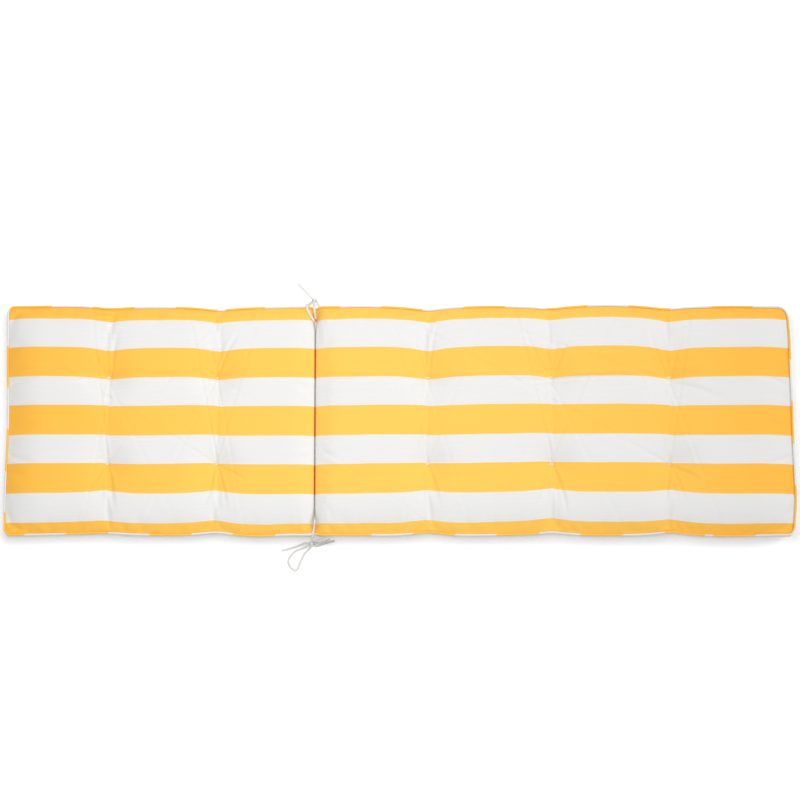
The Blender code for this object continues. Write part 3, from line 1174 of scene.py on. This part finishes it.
TOP_PANEL, SIDE_BAND, BACK_PANEL = 0, 1, 2
cloth_map = cushion.data.uv_layers.new(name="cloth")
cushion.data.materials.append(STRIPED)
cushion.data.materials.append(PLAIN)
for face in cushion.data.polygons:
    shares = [flat_places[index][2] for index in face.vertices]
    if min(shares) > TOP_SHARE:
        panel = TOP_PANEL
    elif max(shares) < BACK_SHARE:
        panel = BACK_PANEL
    else:
        panel = SIDE_BAND
    face.material_index = 0 if panel == TOP_PANEL else 1
    on_end = all(
        abs(abs(flat_places[index][0]) - HALF_LENGTH) < EDGE_MARGIN for index in face.vertices
    )
    for loop in face.loop_indices:
        x, y, share = flat_places[cushion.data.loops[loop].vertex_index]
        if panel == TOP_PANEL:
            cloth_map.data[loop].uv = gathered(x, y)
        elif panel == BACK_PANEL:
            cloth_map.data[loop].uv = (x, y)
        else:
            cloth_map.data[loop].uv = (y if on_end else x, share * SEAM_HEIGHT)
for vertex, place in zip(cushion.data.vertices, flat_places):
    vertex.co = filled_place(*place)
print(f"filled to {max(vertex.co.z for vertex in cushion.data.vertices) * 1000:.0f} mm")

# %% [markdown]
# ## Blowing it up
#
# The form so far is too regular. Blender's cloth gives the top panel a little more cloth than it needs
# and blows it up from inside, while the seam, the tuft threads, the hinge, the cloth under the tapes and
# the underside are pinned. The cloth then buckles where it is held, as a filled cover does. How far a
# point may move is capped, so that the cushion keeps its size.

# %% Blowing it up
FRAMES = 20
MOST_MOVE = 0.0055
SEAM_HOLD = 0.004
TUFT_HOLD = 0.006
HINGE_HOLD = 0.010
TIE_HOLD = 0.028

# A negative shrink makes the cloth larger than the form it starts from
CLOTH_SETTINGS = {
    "vertex_group_mass": "held",
    "quality": 4,
    "mass": 0.25,
    "tension_stiffness": 12,
    "compression_stiffness": 12,
    "shear_stiffness": 3,
    "bending_stiffness": 0.6,
    "use_pressure": True,
    "uniform_pressure_force": 4.0,
    "shrink_min": -0.012,
}


def hold(x, y, share):
    """How firmly a point of the cover is held while it is blown up."""
    from_seam = min(HALF_WIDTH - abs(y), HALF_LENGTH - abs(x))
    from_hinge = abs(x - HINGE)
    under_tie = from_hinge < TIE_HOLD and HALF_WIDTH - abs(y) < GROOVE_MOUTH_LENGTH
    at_tuft = any(math.hypot(x - column, y - row) < TUFT_HOLD for column, row in TUFTS)
    held = share < TOP_SHARE or from_seam < SEAM_HOLD or from_hinge < HINGE_HOLD or under_tie or at_tuft
    return 1.0 if held else 0.0


def blow_up(piece):
    """Runs the cloth on the piece and keeps its shape, capped."""
    started = [vertex.co.copy() for vertex in piece.data.vertices]
    held = piece.vertex_groups.new(name="held")
    for index, place in enumerate(flat_places):
        held.add([index], hold(*place), "REPLACE")
    select_only(piece)
    cloth = piece.modifiers.new("cloth", "CLOTH")
    for name, value in CLOTH_SETTINGS.items():
        setattr(cloth.settings, name, value)
    cloth.settings.effector_weights.gravity = 0.0
    cloth.collision_settings.use_collision = False
    cloth.collision_settings.use_self_collision = False
    for step in range(1, FRAMES + 1):
        bpy.context.scene.frame_set(step)
    bpy.ops.object.modifier_apply(modifier="cloth")
    bpy.context.scene.frame_set(1)
    piece.vertex_groups.clear()
    farthest = 0.0
    for vertex, start in zip(piece.data.vertices, started):
        move = vertex.co - start
        farthest = max(farthest, move.length)
        if move.length > 0:
            # A soft cap: small moves stay as they are, and large ones level off.
            vertex.co = start + move * (MOST_MOVE * math.tanh(move.length / MOST_MOVE) / move.length)
    return farthest


print(f"the cloth moved up to {blow_up(cushion) * 1000:.1f} mm before the cap")

# %% [markdown]
# ## A finer cloth
#
# The seam is a real edge, so it is creased before one level of subdivision rounds all the rest.

# %% A finer cloth
mesh = cushion.data
creases = mesh.attributes.new("crease_edge", "FLOAT", "EDGE")
for edge in mesh.edges:
    ends = [flat_places[index] for index in edge.vertices]
    on_seam = all(
        share > TOP_SHARE and (abs(x) > HALF_LENGTH - EDGE_MARGIN or abs(y) > HALF_WIDTH - EDGE_MARGIN)
        for x, y, share in ends
    )
    if on_seam:
        creases.data[edge.index].value = 0.9
select_only(cushion)
finer = cushion.modifiers.new("finer", "SUBSURF")
finer.levels = 1
finer.render_levels = 1
bpy.ops.object.modifier_apply(modifier="finer")
print(f"{len(cushion.data.polygons)} faces of cloth")

# %% [markdown]
# ## Listed creases
#
# The main creases of the real cushion run out from the tufts towards the seams, and one soft fold links
# the far tufts of the long pad. A thin fold also runs through each tuft across the cushion. Each crease is
# a trough with a low ridge on one side, deepest near its start, and the faces along it are cut finer.

# %% Listed creases
# Start and end on the cushion, depth, and half width
CREASES = (
    ((-0.457, 0.127), (-0.407, 0.231), 0.0020, 0.0060),
    ((-0.468, 0.128), (-0.484, 0.215), 0.0013, 0.0055),
    ((-0.450, 0.120), (-0.380, 0.170), 0.0010, 0.0060),
    ((-0.478, 0.118), (-0.545, 0.165), 0.0009, 0.0060),
    ((-0.731, 0.128), (-0.712, 0.238), 0.0011, 0.0055),
    ((-0.752, 0.122), (-0.792, 0.205), 0.0010, 0.0060),
    ((-0.731, 0.099), (-0.480, 0.093), 0.0015, 0.0130),
    ((-0.735, -0.128), (-0.722, -0.235), 0.0012, 0.0055),
    ((-0.750, -0.125), (-0.802, -0.196), 0.0011, 0.0060),
    ((-0.458, -0.130), (-0.437, -0.240), 0.0016, 0.0055),
    ((-0.470, -0.130), (-0.500, -0.236), 0.0015, 0.0055),
    ((-0.452, -0.122), (-0.378, -0.168), 0.0012, 0.0060),
    ((-0.480, -0.118), (-0.552, -0.150), 0.0009, 0.0060),
    ((0.076, 0.127), (0.097, 0.252), 0.0018, 0.0055),
    ((0.062, 0.127), (0.036, 0.220), 0.0010, 0.0060),
    ((0.060, 0.098), (-0.030, 0.091), 0.0019, 0.0120),
    ((0.076, -0.128), (0.100, -0.226), 0.0013, 0.0055),
    ((0.062, -0.128), (0.028, -0.215), 0.0012, 0.0060),
    ((0.368, 0.127), (0.306, 0.257), 0.0019, 0.0060),
    ((0.396, 0.124), (0.443, 0.231), 0.0020, 0.0060),
    ((0.380, 0.130), (0.376, 0.220), 0.0009, 0.0055),
    ((0.372, 0.100), (0.279, 0.096), 0.0022, 0.0125),
    ((0.398, 0.100), (0.668, 0.096), 0.0026, 0.0140),
    ((0.370, -0.130), (0.315, -0.253), 0.0019, 0.0060),
    ((0.392, -0.128), (0.423, -0.258), 0.0020, 0.0060),
    ((0.673, 0.124), (0.632, 0.244), 0.0018, 0.0060),
    ((0.692, 0.122), (0.722, 0.220), 0.0010, 0.0060),
    ((0.700, 0.092), (0.824, 0.050), 0.0019, 0.0100),
    ((0.697, -0.125), (0.770, -0.166), 0.0016, 0.0070),
    ((0.680, -0.130), (0.664, -0.236), 0.0013, 0.0055),
    ((0.690, -0.130), (0.720, -0.222), 0.0010, 0.0060),
)
RIDGE_SHARE = 0.50
CREASE_DEPTHS = 1.8
CREASE_WIDTHS = 0.72
COLUMN_FOLD_DEPTH = 0.0008
COLUMN_FOLD_WIDTH = 0.0038
COLUMN_FOLD_LEAN = 0.004
COLUMN_FOLD_START = 0.008
COLUMN_FOLD_END = 0.020
CREASE_BOW = 0.035
FINE_CLOTH_REACH = 0.009
PUCKER_DEPTH = 0.00075
PUCKER_REACH = 0.030
PUCKER_START = 0.004
UNEVENNESS = 0.0011
SEAM_FADE = 0.010
HINGE_FADE_START = 0.004
HINGE_FADE = 0.020
UNDERSIDE_KEPT = 0.25


def all_folds():
    """The creases of the table, and the thin fold that runs through each tuft across the cushion."""
    folds = [
        (start, end, depth * CREASE_DEPTHS, width * CREASE_WIDTHS)
        for start, end, depth, width in CREASES
    ]
    for column, row in TUFTS:
        side = math.copysign(1.0, row)
        outer = (column + COLUMN_FOLD_LEAN * side, side * (HALF_WIDTH - COLUMN_FOLD_END))
        for turn, end in ((1, outer), (-1, (column, 0.0))):
            # The ridge lies on the left of every one of these folds, so two of the four are mirrored.
            begin = (column, row + side * turn * COLUMN_FOLD_START)
            folds.append((begin, end, COLUMN_FOLD_DEPTH, side * turn * COLUMN_FOLD_WIDTH))
    return folds


def fold_place(fold, xs, ys):
    """Share along a fold, from nothing to one, and the distance to the side of its bowed line."""
    (x0, y0), (x1, y1) = fold[:2]
    length = math.hypot(x1 - x0, y1 - y0)
    ahead_x = (x1 - x0) / length
    ahead_y = (y1 - y0) / length
    share = ((xs - x0) * ahead_x + (ys - y0) * ahead_y) / length
    bow = CREASE_BOW * length * np.sin(np.clip(share, 0, 1) * math.pi)
    return share, (ys - y0) * ahead_x - (xs - x0) * ahead_y - bow


def crease_heights(xs, ys):
    """How much lower or higher the creases make the cloth at these places."""
    change = np.zeros_like(xs)
    for fold in all_folds():
        share, aside = fold_place(fold, xs, ys)
        inside = np.clip(share, 0, 1)
        fade = np.sin(math.pi * np.clip(inside * 0.92 + 0.08, 0, 1)) ** 0.7
        fade *= np.exp(-1.1 * inside)
        spread = fold[3] * (0.75 + 0.6 * inside)
        trough = np.exp(-((aside / spread) ** 2))
        ridge = np.exp(-(((aside - 1.9 * spread) / (1.3 * spread)) ** 2))
        change += fold[2] * fade * (RIDGE_SHARE * ridge - trough)
    return change


def split_along_folds(piece):
    """Cuts the faces of the top into four wherever a crease will run, so that it can be narrow."""
    count = len(piece.data.polygons)
    middles = np.empty(count * 3)
    piece.data.polygons.foreach_get("center", middles)
    xs, ys, _ = middles.reshape(-1, 3).T
    chosen = np.zeros(count, dtype=bool)
    for fold in all_folds():
        share, aside = fold_place(fold, xs, ys)
        chosen |= (share > -0.05) & (share < 1.0) & (np.abs(aside) < FINE_CLOTH_REACH)
    select_only(piece)
    for face, near in zip(piece.data.polygons, chosen):
        face.select = bool(near) and face.material_index == 0
    bpy.ops.object.mode_set(mode="EDIT")
    bpy.ops.mesh.select_mode(type="FACE")
    bpy.ops.mesh.subdivide(number_cuts=1)
    bpy.ops.object.mode_set(mode="OBJECT")


def pucker_heights(xs, ys):
    """Small uneven gathers where the cloth is sewn to the piping and round the tufts."""
    change = np.zeros_like(xs)
    for index, (x, y) in enumerate(zip(xs, ys)):
        from_side = HALF_WIDTH - abs(y)
        from_end = HALF_LENGTH - abs(x)
        near = min(from_side, from_end)
        if near < 2.5 * PUCKER_REACH:
            place = x if from_side < from_end else y + 7.0
            lumps = noise.noise(Vector((place * 26.0, near * 7.0, 3.0)))
            lumps += 0.5 * noise.noise(Vector((place * 61.0, near * 9.0, 8.0)))
            start = min(1.0, near / PUCKER_START)
            change[index] += PUCKER_DEPTH * lumps * start * math.exp(-near / PUCKER_REACH)
        change[index] += UNEVENNESS * noise.noise(Vector((x * 7.0, y * 9.0, 21.0)))
    return change


def lay_creases(piece):
    """Moves the top panel's points by the creases and the puckers."""
    top_faces = [face for face in piece.data.polygons if face.material_index == 0]
    chosen = sorted({index for face in top_faces for index in face.vertices})
    xs = np.array([piece.data.vertices[index].co.x for index in chosen])
    ys = np.array([piece.data.vertices[index].co.y for index in chosen])
    change = crease_heights(xs, ys) + pucker_heights(xs, ys)
    from_seam = np.minimum(HALF_WIDTH - np.abs(ys), HALF_LENGTH - np.abs(xs))
    change *= np.clip(from_seam / SEAM_FADE, 0, 1)
    change *= np.clip((np.abs(xs - HINGE) - HINGE_FADE_START) / HINGE_FADE, 0, 1)
    for index, height in zip(chosen, change):
        piece.data.vertices[index].co.z += height
    return change


def thin_underside(piece):
    """Leaves the hidden underside fewer faces, because it is nearly flat."""
    select_only(piece)
    for face in piece.data.polygons:
        face.select = face.material_index == 1 and face.normal.z < -0.7
    bpy.ops.object.mode_set(mode="EDIT")
    bpy.ops.mesh.select_mode(type="FACE")
    bpy.ops.mesh.decimate(ratio=UNDERSIDE_KEPT)
    bpy.ops.object.mode_set(mode="OBJECT")


split_along_folds(cushion)
moved = lay_creases(cushion)
print(f"creases up to {-moved.min() * 1000:.1f} mm deep and {moved.max() * 1000:.1f} mm high")
thin_underside(cushion)
place_on_cushion(cushion, ["cushion"])

# %% [markdown]
# ## The piping
#
# A cord in a slanted strip of cloth runs round the whole top edge. Its stripes were measured on the real
# cushion as places where one colour changes to the other. Between two rows of the table they are evenly
# spaced, and at two joins a short white piece was sewn in.

# %% The piping
PIPING_RADIUS = 0.0025
PIPING_CLEARANCE = 0.00045
PIPING_WANDER = 0.00022
PIPING_LUMPS = 0.00018

# Side of the cushion, place along it, and how many colour changes lie before it
STRIPE_MARKS = (
    ("far", -0.9888, 0),
    ("far", -0.4611, 5),
    ("far", -0.4448, 6),
    ("far", -0.2349, 8),
    ("far", -0.1486, 9),
    ("far", 0.9087, 19),
    ("right", 0.2619, 20),
    ("right", -0.2839, 25),
    ("near", 0.8905, 26),
    ("near", 0.7831, 27),
    ("near", 0.7682, 28),
    ("near", -0.0769, 36),
    ("near", -0.2142, 37),
    ("near", -0.3201, 38),
    ("near", -0.9517, 44),
    ("left", -0.2330, 45),
    ("left", 0.1953, 49),
)
MARKS_IN_ALL = 50


def seam_ring():
    """The seam as points of the cover's top edge, clockwise from the far left corner, with their side."""
    far = [("far", column, (column, HALF_WIDTH)) for column in COLUMNS[:-1]]
    right = [("right", row, (HALF_LENGTH, row)) for row in reversed(ROWS[1:])]
    near = [("near", column, (column, -HALF_WIDTH)) for column in reversed(COLUMNS[1:])]
    left = [("left", row, (-HALF_LENGTH, row)) for row in ROWS[:-1]]
    return [(side, place, filled_place(*flat, 1.0)) for side, place, flat in far + right + near + left]


def outwards_at(ring, index):
    """The level direction that points out of the cushion at a point of the ring."""
    before = ring[index - 1][2]
    after = ring[(index + 1) % len(ring)][2]
    return Vector((before.y - after.y, after.x - before.x, 0.0)).normalized()


def piping_route(ring):
    """The middle of the piped cord: a little outside the seam and above it."""
    away = (PIPING_RADIUS + PIPING_CLEARANCE) / math.sqrt(2)
    route = []
    for index, (_, _, point) in enumerate(ring):
        drift = PIPING_WANDER * noise.noise(point * 40.0)
        route.append(point + outwards_at(ring, index) * (away + drift) + UP * away)
    return route


def stripe_number(ring, along, whole):
    """A function from the length along the ring to the number of colour changes before it."""
    lengths = []
    counts = []
    for side, place, count in STRIPE_MARKS:
        on_side = [index for index, row in enumerate(ring) if row[0] == side]
        nearest = min(on_side, key=lambda index: abs(ring[index][1] - place))
        offset = abs(ring[nearest][1] - place)
        forwards = (place > ring[nearest][1]) == (side in ("far", "left"))
        lengths.append(along[nearest] + (offset if forwards else -offset))
        counts.append(count)
    lengths.append(lengths[0] + whole)
    counts.append(MARKS_IN_ALL)
    return lambda length: float(
        np.interp(length if length >= lengths[0] else length + whole, lengths, counts)
    )


ring = seam_ring()
route = piping_route(ring)
tree, along = route_tree(route)
whole = along[-1] + (route[0] - route[-1]).length
number_at = stripe_number(ring, along, whole)
print(f"piping {whole:.2f} m round, {MARKS_IN_ALL} changes of colour")

# %% The piped cord
curve = bpy.data.curves.new("piped_edge", "CURVE")
curve.dimensions = "3D"
curve.bevel_depth = PIPING_RADIUS
curve.bevel_resolution = 3
spline = curve.splines.new("POLY")
spline.points.add(len(route) - 1)
for target, point in zip(spline.points, route):
    target.co = (*point, 1.0)
    target.radius = 1.0 + PIPING_LUMPS / PIPING_RADIUS * noise.noise(point * 55.0)
spline.use_cyclic_u = True
piping = curve_to_piece("piped_edge", curve)


def piping_place(where):
    """Place on the slanted strip: colour changes so far, and the distance round the cord."""
    _, index, _ = tree.find(where)
    forwards = (route[(index + 1) % len(route)] - route[index - 1]).normalized()
    outwards = Vector((-forwards.y, forwards.x, 0.0)).normalized()
    offset = where - route[index]
    turn = math.atan2(offset.z, offset.dot(outwards))
    length = along[index] + offset.dot(forwards)
    return number_at(length), turn * PIPING_RADIUS


write_cloth_map(piping, piping_place)
first_map = piping.data.uv_layers["cloth"]
for face in piping.data.polygons:
    marks = [first_map.data[loop].uv[0] for loop in face.loop_indices]
    if max(marks) - min(marks) > MARKS_IN_ALL / 2:
        for loop in face.loop_indices:
            if first_map.data[loop].uv[0] < MARKS_IN_ALL / 2:
                first_map.data[loop].uv[0] += MARKS_IN_ALL

# %% [markdown]
# ## Slanted cloth on the piping
#
# The map of the piping counts colour changes along the cord. The distance round the cord is added to it,
# so each change runs round the cord on the slant, and the weave is turned by forty-five degrees too.

# %% Slanted cloth on the piping
MARK_LENGTH = 0.1046
SLANTED_EDGE = 0.0009
HALF_TURN_SHARE = 0.7071
SLANTED_YELLOW = (0.97, 0.59, 0.088, 1.0)
SLANTED_DEEP_YELLOW = (0.95, 0.52, 0.066, 1.0)


def slanted_cloth():
    """The striped cloth, cut on the slant."""
    finish = Finish("slanted_cloth", 0.85, 0.1)
    marks, around = finish.cloth_place()
    along = marks * MARK_LENGTH
    slant = marks + around * (1 / MARK_LENGTH)
    pair = (slant * 0.5).fraction()
    edge = SLANTED_EDGE / MARK_LENGTH
    turned_white = pair.step_between(0.5 - edge, 0.5 + edge)
    white_share = turned_white * (1 - pair.step_between(1.0 - 2 * edge, 1.0))
    diagonal = (along + around) * HALF_TURN_SHARE
    other = (along - around) * HALF_TURN_SHARE
    yarn = slubs(finish, diagonal, other)
    yellow = finish.mix(yarn * 0.8, SLANTED_YELLOW, SLANTED_DEEP_YELLOW)
    colour = finish.mix(white_share, yellow, WHITE)
    threads = weave(finish, diagonal, other)
    # The threads term is painted shade: the gaps between threads are painted darker.
    lit = finish.brighten(colour, yarn * 0.10 + threads * 0.05 + 0.92)
    return finish.surface(lit, threads + yarn * 0.6, WEAVE_DEPTH)


dress(piping, slanted_cloth(), ["piping"])

# %% [markdown]
# ## Thread
#
# Three seams show their thread: the tack in each tuft, the row that makes the hinge, and the row that
# holds the piping. Each stitch is a short rounded bar of twisted thread, made once and copied.

# %% Thread
THREAD_RADIUS = 0.00042
STITCH_LENGTH = 0.0034
STITCH_GAP = 0.0011
TWIST_PITCH = 0.0009
TWIST_DEPTH = 0.00008
THREAD_DARK = (0.84, 0.72, 0.56, 1.0)
THREAD_LIGHT = (0.93, 0.84, 0.70, 1.0)


def thread():
    """Twisted thread: warm white with a painted reflection of the cloth, and painted shade in its grooves.
    """
    finish = Finish("white_thread", 0.6, 0.1)
    along, around = finish.cloth_place()
    twist = ((along + around * 1.2) * (2 * math.pi / TWIST_PITCH)).sine() * 0.5 + 0.5
    # Painted shade: the thread is painted darker in the grooves of its twist.
    colour = finish.mix(twist, THREAD_DARK, THREAD_LIGHT)
    return finish.surface(colour, twist, TWIST_DEPTH)


THREAD = thread()


def make_bar(length, radius, segments, rings):
    """A rounded bar along X: a sphere whose two halves are drawn apart."""
    deselect_all()
    bpy.ops.mesh.primitive_uv_sphere_add(segments=segments, ring_count=rings, radius=radius)
    bar = bpy.context.view_layer.objects.active
    bar.rotation_euler = (0.0, math.pi / 2, 0.0)
    settle(bar)
    for vertex in bar.data.vertices:
        vertex.co.x += math.copysign(max(0.0, length / 2 - radius), vertex.co.x)
        vertex.co.z -= 0.35 * radius * (abs(vertex.co.x) / (length / 2)) ** 2
    write_cloth_map(bar, lambda where: (where.x, where.y))
    return bar


def copies(name, bar, placements):
    """One mesh that holds a copy of the bar for each placement, a matrix."""
    source = bar.data
    count = len(source.vertices)
    rest = np.empty(count * 3)
    source.vertices.foreach_get("co", rest)
    rest = rest.reshape(-1, 3)
    pieces = [bar] + [new_object(name, source.copy()) for _ in placements[1:]]
    for piece, placement in zip(pieces, placements):
        matrix = np.array(placement)
        places = rest @ matrix[:3, :3].T + matrix[:3, 3]
        piece.data.vertices.foreach_set("co", places.ravel())
        piece.data.update()
    return join(name, pieces)


def placed(where, forwards, up=UP):
    """A matrix that lays a bar at a point, along a direction, with its back to up."""
    x_axis = forwards.normalized()
    y_axis = up.cross(x_axis).normalized()
    z_axis = x_axis.cross(y_axis)
    turned = Matrix((x_axis, y_axis, z_axis)).transposed()
    return Matrix.Translation(where) @ turned.to_4x4()


# %% [markdown]
# ## Tuft tacks
#
# A tuft is held by a few passes of strong thread through the whole cushion. On top they lie side by side
# as a small tack, with one pass across them, and they pull down into the dimple.

# %% Tuft tacks
TACK_LENGTH = 0.0105
TACK_PASSES = 6
TACK_SPREAD = 0.0040
TACK_RADIUS = 0.00052
TACK_LIFT = 0.0007
TACK_HUMP = 0.0006
CROSS_PASS_LIFT = 0.0011
CROSS_PASS_SIZE = 0.6
RAY_START = 0.2


def surface_under(piece):
    """A function that gives the height of the piece's top at a place."""
    graph = bpy.context.evaluated_depsgraph_get()
    shown = piece.evaluated_get(graph)

    def height(x, y):
        hit, where, _, _ = shown.ray_cast(Vector((x, y, RAY_START)), -UP)
        return where.z if hit else SEAM_HEIGHT

    return height


height_at = surface_under(cushion)
tack_placements = []
for column, row in TUFTS:
    turn = 0.5 * noise.noise(Vector((column * 9.0, row * 9.0, 5.0)))
    forwards = Vector((math.cos(turn), math.sin(turn), 0.0))
    aside = Vector((-math.sin(turn), math.cos(turn), 0.0))
    bottom = Vector((column, row, height_at(column, row) + TACK_LIFT))
    for strand in range(TACK_PASSES):
        offset = (strand / (TACK_PASSES - 1) - 0.5) * TACK_SPREAD
        fan = forwards + aside * offset * 45.0 * (0.6 + 0.4 * (-1) ** strand)
        hump = TACK_HUMP * math.cos(offset / TACK_SPREAD * math.pi)
        tack_placements.append(placed(bottom + aside * offset + UP * hump, fan))
    cross_pass = placed(bottom + UP * CROSS_PASS_LIFT, aside)
    tack_placements.append(cross_pass @ Matrix.Scale(CROSS_PASS_SIZE, 4))
tacks = copies("tuft_tacks", make_bar(TACK_LENGTH, TACK_RADIUS, 10, 8), tack_placements)
dress(tacks, THREAD)

# %% [markdown]
# ## Rows of stitches
#
# The hinge is sewn right across through both covers, and its row lies at the bottom of the groove. The
# piping's row lies on the side band, a few millimetres under the cord.

# %% Rows of stitches
HINGE_ROW_END = 0.03
HINGE_ROW_LIFT = 0.0003
BAND_ROW_SHARE = 0.86
BAND_ROW_LIFT = 0.0001


def row_of_stitches(points, ups, lift):
    """Placements for stitches end to end along a row of points."""
    placements = []
    travelled = 0.0
    pitch = STITCH_LENGTH + STITCH_GAP
    for index in range(len(points) - 1):
        start = points[index]
        step = points[index + 1] - start
        length = step.length
        while travelled < length:
            where = start + step * (travelled / length)
            placements.append(placed(where + ups[index] * lift, step, ups[index]))
            travelled += pitch
        travelled -= length
    return placements


hinge_rows = [row for row in ROWS if abs(row) < HALF_WIDTH - HINGE_ROW_END]
hinge_points = [Vector((HINGE, row, height_at(HINGE, row))) for row in hinge_rows]
hinge_ups = [UP] * len(hinge_points)
band_ups = [outwards_at(ring, index) for index in range(len(ring))]
band_outs = band_outset(BAND_ROW_SHARE)
band_points = [
    Vector((point.x, point.y, point.z * BAND_ROW_SHARE)) + outwards * band_outs
    for (_, _, point), outwards in zip(ring, band_ups)
]
stitch_placements = row_of_stitches(hinge_points, hinge_ups, HINGE_ROW_LIFT)
stitch_placements += row_of_stitches(band_points, band_ups, BAND_ROW_LIFT)
stitches = copies("seam_stitches", make_bar(STITCH_LENGTH, THREAD_RADIUS, 6, 4), stitch_placements)
dress(stitches, THREAD)

# %% [markdown]
# ## Floor and light
#
# The picture has a plain white ground and hardly a shadow, with light from a wide source overhead. A big
# soft panel above gives that, a second one from the right models the valleys between the tufts, and the
# pale surroundings fill the rest. The floor glows weakly, as a light table does, and so stays white.

# %% Floor and light
FLOOR_SIZE = 40.0
FLOOR_GLOW = 0.18
FLOOR_DROP = 0.0002
SURROUNDINGS_STRENGTH = 0.46
deselect_all()
bpy.ops.mesh.primitive_plane_add(size=FLOOR_SIZE, location=(0.0, 0.0, -FLOOR_DROP))
floor = bpy.context.view_layer.objects.active
floor.name = "floor"
settle(floor)
floor_finish = Finish("floor", 0.9)
floor_finish.shader.inputs["Base Color"].default_value = (0.95, 0.95, 0.95, 1.0)
floor_finish.shader.inputs["Emission Color"].default_value = (1.0, 1.0, 1.0, 1.0)
floor_finish.shader.inputs["Emission Strength"].default_value = FLOOR_GLOW
floor.data.materials.append(floor_finish.material)
floor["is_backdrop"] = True


def panel_light(name, place, faced, size, power):
    """A square soft light that faces a point."""
    data = bpy.data.lights.new(name, "AREA")
    data.shape = "SQUARE"
    data.size = size
    data.energy = power
    light = new_object(name, data)
    light.location = place
    light.rotation_euler = (Vector(faced) - Vector(place)).to_track_quat("-Z", "Y").to_euler()


panel_light("overhead", (-0.35, 0.22, 2.35), (-0.35, 0.0, 0.0), 1.6, 36.5)
panel_light("side", (5.6, 1.4, 2.7), (0.0, 0.0, 0.0), 2.0, 120.0)
world = bpy.context.scene.world or bpy.data.worlds.new("surroundings")
bpy.context.scene.world = world
world.use_nodes = True
background = world.node_tree.nodes["Background"]
background.inputs["Color"].default_value = (1.0, 1.0, 1.0, 1.0)
background.inputs["Strength"].default_value = SURROUNDINGS_STRENGTH
print("floor and lights ready")

# %% [markdown]
# ## Sizes of the solids and the dressed cushion
#
# The box of the plain solids and the box of the dressed cushion are put side by side, and the dressed box
# is printed.

# %% Sizes of the solids and the dressed cushion
dressed_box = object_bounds()
sizes = {
    "cad": [list(map(float, corner)) for corner in cad_box],
    "dressed": [list(map(float, corner)) for corner in dressed_box],
}
print("dressed box:", sizes["dressed"])
